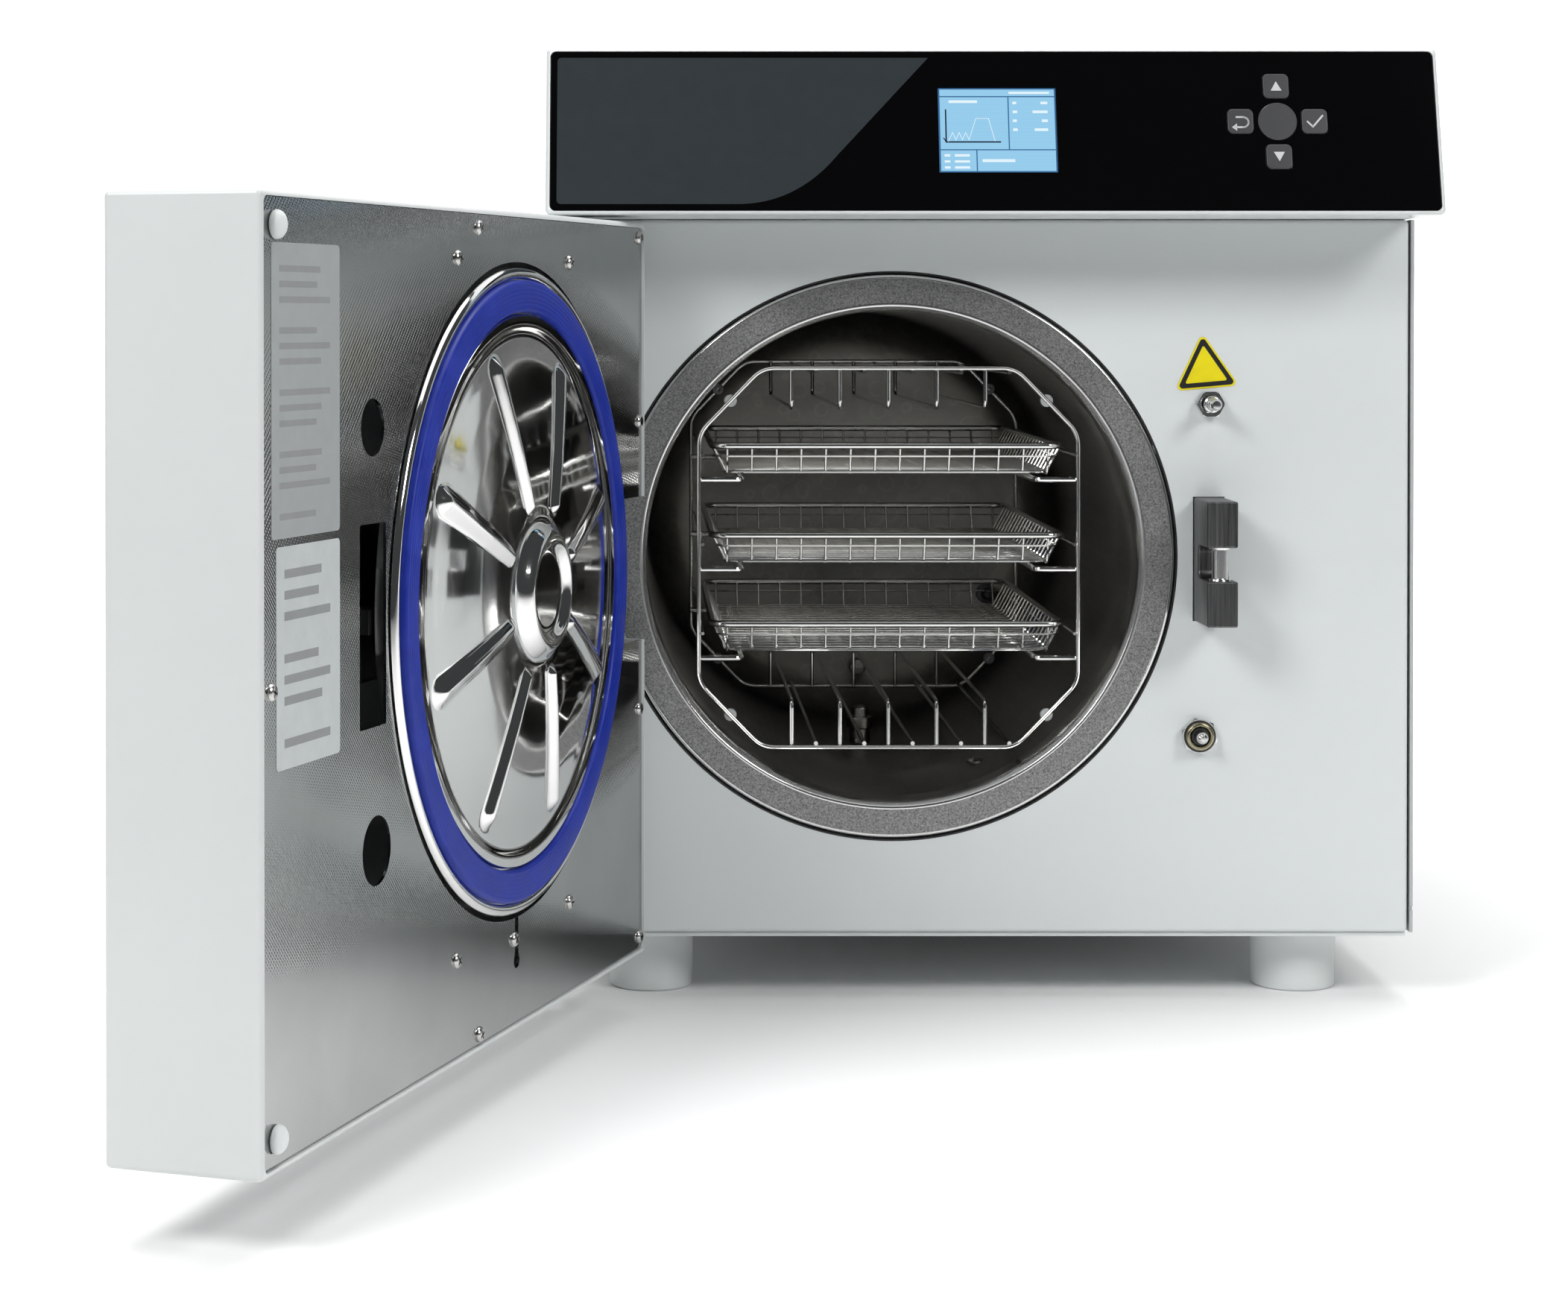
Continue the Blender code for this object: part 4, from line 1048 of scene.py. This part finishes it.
def chamber():
    """Vessel, blasted sealing flange with its bright lip, black trim and the fittings inside."""
    inside = soft_profile([(125, 20.3), (125, 329), (106.5, 348.5), (58, 358.5)], 12)
    outside = soft_profile([(60, 362), (110, 352), (128, 331), (128, 20.3)], 8)
    vessel = [(0, 365)] + outside + inside + [(0, 361)]
    turned("vessel_looks", vessel, CHAMBER, "chamber_vessel", count=160)
    face = [(128.9, -0.95), (141.2, -0.95), (141.2, 4.0), (128.9, 4.0)]
    turned("flange_face", face, BLASTED, count=200)
    flange = soft_profile([
        (125, 20), (125, 4.6), (125.5, 1.4), (127.4, -0.9), (129.0, -1.0), (129.1, 2.0), (141.0, 2.0),
        (141.2, -1.0), (142.4, -0.9), (143.9, 0.8), (143.9, 6), (140, 8), (140, 20),
    ], 0.5, 3)
    turned("flange_looks", flange, FITTING_POLISH, "chamber_flange", count=200, slot="satin_steel")
    trim = soft_profile([(144.1, 2.4), (144.1, 0.1), (145.4, 0.1), (145.4, 2.4)], 0.3, 3)
    turned("trim_looks", trim, BLACK_RUBBER, "flange_trim_ring", count=160)
    neck = soft_profile([
        (0, 103), (6, 103), (6, 111.4), (7.5, 112), (7.5, 118), (5, 118.6), (5, 123.4), (3.6, 124.5),
        (0, 124.5),
    ], 0.5, 2)
    fitting = carved(lathe(neck, "Z", STEAM_AT, 32), rod(2.6, "Z", STEAM_AT, (120, 130), 20))
    make("steam_fitting_looks", fitting, BRIGHT, "steam_fitting")
    probe = soft_profile([(0, 329), (3, 330), (3, 341), (6, 341.3), (6, 347.5), (0, 347.5)], 0.8, 2)
    turned("probe_looks", probe, MILLED, "temperature_probe", at=(40, 178), count=32)
    plug = soft_profile([(0, 336), (4.5, 336), (5.4, 337.5), (5.4, 351), (0, 351)], 0.8, 2)
    turned("vent_plug", plug, BRIGHT, at=(-40, 133), count=32)
    ring = [(3.6, 112.9), (5.2, 112.2), (5.6, 113.4), (3.6, 114.2)]
    turned("drain_ring", ring, BRIGHT, axis="Z", at=DRAIN_AT, count=32)
    # The drain's opening is a near-black disc: painted shade.
    hole = [(0, 113.3), (3.9, 113.3), (3.9, 112.2), (0, 112.2)]
    turned("drain_hole", hole, OPENING_PAINTED_SHADE, axis="Z", at=DRAIN_AT, count=24, slot="dark_steel")


# ---------------------------------------- front hardware


def latch():
    """Milled latch block with its notch, and the polished pin across it."""
    low, high = LATCH_NOTCH_Z
    at = (middle(LATCH_X), LATCH_PIN_Y)
    opening = rounded(28.5, (high - low) / 2, 4.5, (-41.5, middle(LATCH_NOTCH_Z)), 6)
    notch = prism(opening, "X", inset(LATCH_X, -5))
    bore = rod(4.1, "Z", at, (low - 8, high + 8), 40)
    block = carved(box(LATCH_X, (-39, 12), LATCH_Z), notch)
    make("latch_looks", carved(eased(block, 0.9, 3), bore), MILLED, "latch_block")
    ends = (low - 7.6, high + 7.6)
    pin = soft_profile([(0, ends[0]), (4, ends[0]), (4, ends[1]), (0, ends[1])], 0.5, 3)
    collars = []
    for end, way in ((low, 1), (high, -1)):
        ring = [(4.05, 0.1), (5.4, 0.1), (5.2, 0.9), (4.05, 1.3)]
        collars.append(lathe([(radius, end + way * along) for radius, along in ring], "Z", at, 40))
    make("latch_pin_looks", merged(lathe(pin, "Z", at, 40), *collars), FITTING_POLISH, "latch_pin")


def hex_nut(across, centre, turn, y, bore):
    """Hex nut with its outer face chamfered at the corners, facing -Y."""
    corner = across / 2 / math.cos(math.pi / 6) + 0.4
    flat = across / 2 + 0.35
    front, back = y
    start, end = front - 0.01, back + 1
    cone = [(0, start), (flat, start), (corner, front + 0.9), (corner, end), (0, end)]
    nut = prism(hexagon(across, centre, turn), "Y", y)
    dressed = carved(nut, lathe(cone, "Y", centre, 60), operation="INTERSECT")
    return carved(dressed, rod(bore, "Y", centre, (front - 5, back + 5), 40))


def front_fittings():
    """Safety bolt and door switch, each in its nut and collar."""
    nut = hex_nut(12.6, BOLT_AT, 1, (-5.3, -0.3), 4.7)
    make("bolt_nut_looks", nut, FITTING_POLISH, "lock_bolt_nut")
    neck = soft_profile([
        (2.0, -21.2), (3.1, -19.4), (3.1, -17.6), (2.0, -16.2), (1.9, -14.6), (3.1, -13.9), (3.15, -10),
        (4.35, -9.6), (4.35, 40),
    ], 0.6, 3)
    bolt = [(0, -21.6)] + neck + [(0, 40)]
    turned("bolt_looks", bolt, FITTING_POLISH, "lock_bolt", at=BOLT_AT, count=48, body="safety_bolt")
    ring = soft_profile([(7.3, -5.5), (8.1, -5.5), (8.1, -4.7), (7.3, -4.7)], 0.25, 2)
    turned("switch_ring", ring, BLACK_RUBBER, at=SWITCH_AT, count=48)
    nut = hex_nut(16.4, SWITCH_AT, 44, (-4.8, -0.3), 7.6)
    make("switch_nut_looks", nut, FITTING_POLISH, "switch_nut")
    cup = soft_profile([
        (3.4, 30), (3.4, -5.6), (4.6, -6.0), (5.4, -7.4), (6.7, -7.2), (7.25, -6.2), (7.25, 30),
    ], 0.5, 3)
    turned("switch_cup_looks", cup, BRASS, "switch_bush", at=SWITCH_AT, count=56)
    seal = soft_profile([(3.15, -6.9), (4.5, -6.9), (4.5, -5.2), (3.15, -5.2)], 0.3, 2)
    turned("switch_seal", seal, BLACK_RUBBER, at=SWITCH_AT)
    tip = soft_profile([(1.4, -15.3), (2.6, -14.2), (3.05, -12.6), (3.05, 36)], 0.6, 3)
    plunger = [(0, -15.4)] + tip + [(0, 36)]
    turned(
        "switch_plunger_looks", plunger, FITTING_POLISH, "switch_plunger", at=SWITCH_AT,
        body="door_switch",
    )


def warning_sign():
    """Plain yellow triangle with a black border, set slightly askew."""
    centre = Vector((113.6, 322.0))
    lean = math.radians(5)

    def triangle(size, corner):
        points = []
        for i in range(3):
            at = math.radians(90 + 120 * i) + lean
            tip = centre + Vector((math.cos(at), math.sin(at))) * (size - 2 * corner)
            points += arc(tip, corner, math.degrees(at) - 60, math.degrees(at) + 60, 6)
        return points

    sheet = prism(triangle(18.9, 2.2), "Y", (-0.35, -0.12))
    make("sign_backing", sheet, YELLOW)
    border = carved(
        prism(triangle(17.2, 1.6), "Y", (-0.45, -0.3)),
        prism(triangle(12.6, 0.7), "Y", (-1, 1)),
    )
    make("sign_border", border, SIGN_BLACK)


# ---------------------------------------- door


def door_outline(margin, corner):
    """The door's face less a margin, with round corners."""
    half_s = (DOOR_S[1] - DOOR_S[0]) / 2 - margin
    half_z = (DOOR_Z[1] - DOOR_Z[0]) / 2 - margin
    return rounded(half_s, half_z, corner, (middle(DOOR_S), middle(DOOR_Z)))


def door_shell():
    """Moulded door pan with round edges, wall, hinge bosses and the relief at its hinge edge."""
    low, high = DOOR_Z
    body = eased(box(DOOR_S, DOOR_N, DOOR_Z), 2.4, 6)
    pan = prism(door_outline(DOOR_WALL, 3.0), "Y", (DOOR_N[0] + DOOR_WALL, 40))
    relief = box((DOOR_S[0] - 5, 3), (14, 40), EDGE_NOTCH_Z)
    sockets = [rod(4.2, "Z", (0, 0), ends) for ends in ((low - 5, low + 17), (high - 16, high + 5))]
    shell = carved(body, pan, relief, *sockets)
    bosses = []
    for foot, top in ((low + 2.4, low + 19), (high - 18, high - 2.4)):
        bosses.append(lathe([(4.3, foot), (8, foot), (8, top), (4.3, top)], "Z", (0, 0), 40))
    make("door_looks", merged(shell, *bosses), WHITE_SHELL, "door_shell", **ON_DOOR)


def door_liner():
    """Linen-rolled liner, pierced for the lid, its keyhole, the latch, bolt and switch."""
    tools = [
        rod(146, "Y", LID_AT, PIERCE_LINER, 180),
        box((DOOR_S[0] - 5, 40), PIERCE_LINER, EDGE_NOTCH_Z),
        rod(11.5, "Y", (BOLT_AT[0] - HINGE_X, BOLT_AT[1]), PIERCE_LINER, 48),
        rod(14.0, "Y", (SWITCH_AT[0] + 1.6 - HINGE_X, SWITCH_AT[1]), PIERCE_LINER, 48),
        prism(rounded(13, 40.5, 1.0, (LATCH_S, 226), 2), "Y", PIERCE_LINER),
        prism(rounded(2.2, 13, 2.1, (LID_S + 2, 73)), "Y", PIERCE_LINER),
        rod(3.6, "Y", (LID_S + 2, 62), PIERCE_LINER, 24),
    ]
    sheet = carved(prism(door_outline(DOOR_WALL + 0.25, 2.8), "Y", LINER_N), *tools)
    make("liner_looks", sheet, LINER, "door_liner", **ON_DOOR)


def door_screws():
    """Cross-head screws round the liner."""
    places = [
        (206, 387.0), (230, 373.5), (92, 374), (-9, 388), (-9, 297), (-9, 154), (-9, 40.5), (92, 75.6),
        (164, 71.8), (232, 75.6), (206, 38.6), (413, 210),
    ]
    spots = [(s, LINER_N[1] - 0.05, z) for s, z in places]
    scattered("liner_screws", screw_head(3.4, 1.7), spots, (0, 1, 0), BRIGHT, seed=3, **ON_DOOR)


LID_PROFILE = [
    (0, 42.8), (17.0, 42.8), (19.4, 43.6), (21.6, 45.6), (24.0, 46.2), (26.4, 45.2), (28.8, 42.4),
    (31.6, 40.3), (37.0, 39.5), (50.0, 38.4), (65.0, 36.9), (80.0, 35.1), (95.0, 33.1), (106.0, 31.5),
    (113.0, 30.6), (115.5, 30.7), (117.0, 31.7), (118.4, 31.9), (122.3, 31.9),
]


def follow(profile, radius):
    """Height of a profile at a radius, eased between its points."""
    for (r0, h0), (r1, h1) in zip(profile, profile[1:]):
        if radius <= r1:
            return h0 + (h1 - h0) * (radius - r0) / (r1 - r0)
    return profile[-1][1]


def lid_height(radius, turn):
    """How far the pressed lid stands from the hinge plane: a dome with a ring hub and eight ribs."""
    height = sum(follow(LID_PROFILE, abs(radius + 0.55 * k)) for k in (-2, -1, 0, 1, 2)) / 5
    sector = math.tau / 8
    off = (turn - math.radians(25.5)) % sector
    off = min(off, sector - off)
    along, aside = radius * math.cos(off), radius * math.sin(off)
    inner, outer = 41.0, 104.0
    t = min(max((along - inner) / (outer - inner), 0), 1)
    width = 4.6 + 2.2 * t
    reach = math.hypot(along - (inner + (outer - inner) * t), aside) / width
    if reach < 1:
        height += (2.9 + 0.9 * t) * math.cos(reach * math.pi / 2) ** 1.6
    return height


def ring_of(bm, radius, along, count):
    """A ring of points about the lid's centre; one point where the radius is 0."""
    ring = []
    for i in range(count if radius else 1):
        turn = math.tau * i / count
        height = along(radius, turn) if callable(along) else along
        across, up = radius * math.cos(turn), radius * math.sin(turn)
        ring.append(bm.verts.new((LID_S + across, height, CHAMBER_Z + up)))
    return ring


def door_lid():
    """Pressed and polished pressure lid: rolled rim, gasket seat, flat ring, ribbed dome and ring hub."""
    count = 400
    bm = bmesh.new()
    step = 1.1
    rings = [ring_of(bm, step * i, lid_height, count) for i in range(int(122.3 / step) + 1)]
    rim = [
        (122.6, 31.2), (122.9, 29.6), (138.4, 29.6), (138.6, 30.2), (139.2, 30.9), (140.4, 31.3),
        (142.0, 31.1), (143.3, 30.1), (143.8, 28.6), (143.8, 22.0), (120.0, 20.0), (0, 20.0),
    ]
    rings += [ring_of(bm, radius, along, count) for radius, along in rim]
    bridged(bm, zip(rings, rings[1:]), count)
    make("lid_looks", bm, MIRROR, "door_lid", place=DOOR, body="door", crease=50)


def gasket():
    """Blue silicone ring with raised lips and fine concentric grooves."""
    profile = [(123.6, 29.8), (123.6, 31.8), (124.4, 33.0)]
    inner, outer = 124.8, 137.0
    steps = 26
    for i in range(steps + 1):
        crown = 33.25 + 0.35 * math.sin(math.pi * i / steps)
        groove = 0.16 if i % 4 == 2 else 0.0
        profile.append((inner + (outer - inner) * i / steps, crown - groove))
    profile += [(137.7, 32.6), (138.1, 31.4), (138.1, 29.8)]
    turned("gasket_looks", profile, BLUE, "door_gasket", at=LID_AT, count=220, crease=60, **ON_DOOR)


def bumpers():
    """Domed white stops at the free edge."""
    dome = soft_profile([(0, 28.9), (5.6, 28.9), (5.4, 31.2), (3.4, 33.0), (0, 33.2)], 1.4, 4)
    for node in ("bumper_top", "bumper_bottom"):
        low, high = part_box(node)
        at = (DOOR_S[1] - 14, (low.z + high.z) / 2 / MM)
        turned(node + "_looks", dome, WHITE_FOOT, node, at=at, **ON_DOOR)


def stickers():
    """Two plain data labels with generic rows of bars, near the free edge of the liner."""
    front = LINER_N[1] + 0.02
    film = front + 0.12
    for name, finish, s, z, rows in (
        ("label_long", LABEL_SILVER, (352, 413), (266, 376), 17),
        ("label_short", LABEL_WHITE, (352, 409), (180, 263), 9),
    ):
        outline = rounded((s[1] - s[0]) / 2, (z[1] - z[0]) / 2, 2.0, (middle(s), middle(z)))
        make(name, prism(outline, "Y", (front, film)), finish, **ON_DOOR)
        bars = []
        pitch = (z[1] - z[0] - 12) / rows
        end = s[1] - 7
        for row in range(rows):
            if row % 4 == 3:
                continue
            length = (s[1] - s[0] - 16) * (0.55 + 0.45 * abs(math.sin(2.1 * row + 0.6)))
            low = z[1] - 8 - pitch * (row + 0.5)
            bars.append(box((end - length, end), (film, film + 0.05), (low, low + pitch * 0.42)))
        make(name + "_bars", merged(*bars), LABEL_INK, **ON_DOOR)


def wedge():
    """Locking wedge behind the latch slot."""
    repaint(MILLED, "lock_wedge", "door_yoke")
    repaint(ZINC, "lock_motor")


# ---------------------------------------- rack and trays


def octagon(y):
    """The bent frame's outline, with its eight corners."""
    wide, tall = RACK_CORNER
    half = RACK_HALF
    right = [(wide, half), (half, tall), (half, -tall), (wide, -half)]
    left = [(-a, b) for a, b in reversed(right)]
    return [(a, y, b) for a, b in right + left]


def rack():
    """Reversible wire cage: two bent frames, guide wires, tray rails, guards and spacer discs."""
    end = RACK_LENGTH
    frames = wires([octagon(0), octagon(end)], 1.2, 15, closed=True, sides=12, steps=8)
    guides = []
    for sign, drop in ((1, 20.5), (-1, 24.0)):
        z = sign * RACK_HALF
        inner = z - sign * drop
        level = z - sign * 2.1
        for i in range(-2, 3):
            x = 25.0 * i
            start = (x, 1.9, z + sign * 0.6)
            guides.append([start, (x, 1.9, inner), (x, end - 1.9, inner), (x, end - 1.9, z)])
            guides.append([(x + 12.49, -0.4, level), (x + 12.5, end, level)])
    rails, guards = [], []
    for sign in (-1, 1):
        x = sign * RAIL_X
        edge = sign * (RACK_HALF + 0.4)
        side = sign * (RACK_HALF - 1.9)
        for z in RAIL_HEIGHTS:
            rails.append([(edge, 2.4, z), (x, 2.4, z), (x, end - 2.4, z), (edge, end - 2.4, z)])
            guards.append([(side, -1.6, z + 13.0), (side, end, z + 13.0)])
    cage = merged(
        frames, wires(guides, 1.1, 4.0), wires(rails, 1.55, 3.4), wires(guards, 0.9, 1.0, sides=8),
    )
    nodes = [node for node in frame["nodes"] if node.startswith("rack_")]
    make("rack_looks", cage, WIRE_POLISH, *nodes, place=RACK, body="rack")
    discs = []
    across, up = ((corner + RACK_HALF) / 2 for corner in RACK_CORNER)
    for a in (-across, across):
        for b in (-up, up):
            for y in (1.4, end - 1.4):
                near, far = y - 1.5, y + 1.5
                ring = soft_profile([(1.25, near), (3.3, near), (3.3, far), (1.25, far)], 0.9, 3)
                discs.append(lathe(ring, "Y", (a, b), 32))
    make("rack_discs", merged(*discs), NYLON, place=RACK, body="rack")


def tray(node, body, height):
    """Wire basket: thick rim, wires that run down, under and up both ways, and two thin bands."""
    low = height + 1.55 + 0.35
    high = low + 17.2
    top = high - 2.2
    front, back = 3.6, 267.4
    half = 91.0
    drop = 7.0
    pitch = 12.8
    half_y = (back - front) / 2
    middle_y = (front + back) / 2

    def loop(inset_by, z):
        a, b = half - inset_by, half_y - inset_by
        right = [(a, middle_y - b, z), (a, middle_y + b, z)]
        return right + [(-a, y, z) for _, y, z in reversed(right)]

    rim = wires([loop(0, high - 1.7)], 1.75, 9.0, closed=True, sides=12, steps=8)
    hoops = [loop(drop * 0.36, high - 7.2), loop(drop * 0.92, low + 1.6)]
    bands = wires(hoops, 0.5, 7.0, closed=True, sides=6)
    down = []
    near, far = front + 0.9, back - 0.9
    for i in range(14):
        x = (i - 6.5) * pitch
        floor = low + 0.7
        down.append([(x, near, top), (x, near + drop, floor), (x, far - drop, floor), (x, far, top)])
    reach = half - 0.9
    foot = reach - drop
    for i in range(20):
        y = middle_y + (i - 9.5) * pitch
        floor = low + 1.9
        down.append([(-reach, y, top), (-foot, y, floor), (foot, y, floor), (reach, y, top)])
    mesh = wires(down, 0.68, 2.4, sides=6, steps=3)
    make(node + "_looks", merged(rim, bands, mesh), WIRE_POLISH, node, place=RACK, body=body)


# ---------------------------------------- services and small parts


def services():
    """Hidden and rear parts that keep their CAD shape."""
    for finish, nodes in (
        (FELT, ["insulation_jacket"]),
        (BLACK_RUBBER, ["heater_band"]),
        (TANK_PLASTIC, ["water_reservoir"]),
        (BOARD_GREEN, ["control_board"]),
        (ZINC, ["vacuum_pump"]),
        (BRASS, ["solenoid_block", "drain_outlet", "safety_valve"]),
        (BLACK_PLASTIC, ["fan_frame", "fan_rotor", "power_entry", "power_rocker"]),
        (FITTING_POLISH, ["hinge_bracket_lower", "hinge_pin_upper"]),
    ):
        repaint(finish, *nodes)


def fill_cap():
    """Knurled tank cap with a finger bridge."""
    low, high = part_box("fill_cap")
    x, y = plan_centre("fill_cap")
    base, top = low.z / MM, high.z / MM
    shoulder = base + 9.4
    outline = [
        (0, base), (23.8, base), (23.8, shoulder), (30, shoulder), (30, top - 1), (27, top),
        (24, top - 2), (6, top - 2.6), (0, top - 2.6),
    ]
    disc = lathe(soft_profile(outline, 1.0, 3), "Z", (x, y), 72)
    grip = eased(box((x - 21, x + 21), (y - 3, y + 3), (top - 3, top - 0.2)), 1.2, 3)
    make("fill_cap_looks", merged(disc, grip), BLACK_PLASTIC, "fill_cap", body="tank_cap")


# ---------------------------------------- stage, light and camera


def stage():
    """Pale floor that sweeps up into a backdrop."""
    length = 6000.0
    profile = [(-2600.0, 0.0)] + arc((2200, 1400), 1400, 270, 360, 16) + [(3600.0, length)]
    bm = bmesh.new()
    rows = [[bm.verts.new((x, y, z)) for x in (-5200, 5200)] for y, z in profile]
    for low, high in zip(rows, rows[1:]):
        bm.faces.new((low[0], low[1], high[1], high[0]))
    bm.transform(MACHINE)
    mesh = bpy.data.meshes.new("floor")
    bm.to_mesh(mesh)
    bm.free()
    mesh.shade_smooth()
    paper = Finish("studio_paper", (0.90, 0.90, 0.90), 0.85, Specular_IOR_Level=0.05)
    place = paper.node("ShaderNodeSeparateXYZ")
    paper.link(paper.place, place.inputs[0])
    glow = paper.ramp(place.outputs["Y"], (0.35, 1.3))
    paper.shade(place.outputs["Y"], (-1.3, -0.5), (0.40, 0.40, 0.40), (0.93, 0.93, 0.93))
    paper.link(paper.blend(glow, (0, 0, 0), (1, 1, 1)), paper.shader.inputs["Emission Color"])
    paper.shader.inputs["Emission Strength"].default_value = 1.0
    mesh.materials.append(paper.made)
    floor = bpy.data.objects.new("floor", mesh)
    bpy.context.scene.collection.objects.link(floor)


def softbox(name, at, aim, size, power):
    light = bpy.data.lights.new(name, "AREA")
    light.shape = "RECTANGLE"
    light.size, light.size_y = size[0] * MM, size[1] * MM
    light.energy = power
    lamp = bpy.data.objects.new(name, light)
    bpy.context.scene.collection.objects.link(lamp)
    lamp.location = MACHINE @ Vector(at)
    way = (MACHINE @ Vector(aim)) - lamp.location
    lamp.rotation_euler = way.to_track_quat("-Z", "Y").to_euler()


def lights():
    softbox("overhead", (0, 170, 1900), (0, 100, 0), (1300, 800), 16)
    softbox("broad", (0, -100, 2700), (0, 0, 0), (3200, 2400), 38)
    softbox("key_left", (-1050, -1300, 1240), (0, 0, 280), (560, 560), 17)
    softbox("key_right", (1050, -1300, 1240), (0, 0, 280), (560, 560), 15)
    world = bpy.data.worlds.new("studio")
    bpy.context.scene.world = world
    world.use_nodes = True
    background = world.node_tree.nodes["Background"]
    background.inputs["Color"].default_value = (0.62, 0.66, 0.68, 1)
    background.inputs["Strength"].default_value = 0.08


def camera():
    """A long lens a little left of the cabinet's middle, at half height, framed by lens shift."""
    view = bpy.data.cameras.new("view")
    view.lens = 71.13
    view.sensor_width = 36.0
    view.shift_x = 0.0889
    view.shift_y = -0.1875
    view.clip_start = 0.05
    holder = bpy.data.objects.new("view", view)
    bpy.context.scene.collection.objects.link(holder)
    holder.location = MACHINE @ Vector((-171.4, -1575.0, 347.0))
    holder.rotation_euler = (math.radians(90 - 0.6), 0, 0)
    bpy.context.scene.camera = holder


front_panel()
outer_cover()
side_louvres()
rear_sheet()
feet()
underside()
console_shell()
console_glass()
display()
keys()
chamber()
latch()
front_fittings()
warning_sign()
door_shell()
door_liner()
door_screws()
door_lid()
gasket()
bumpers()
stickers()
wedge()
rack()
for tray_node, tray_body, rail_height in zip(
    ("tray_top", "tray_middle", "tray_bottom"), ("upper_tray", "centre_tray", "lower_tray"), RAIL_HEIGHTS
):
    tray(tray_node, tray_body, rail_height)
services()
fill_cap()
stage()
lights()
camera()

scene_view = bpy.context.scene.view_settings
scene_view.view_transform = "Standard"
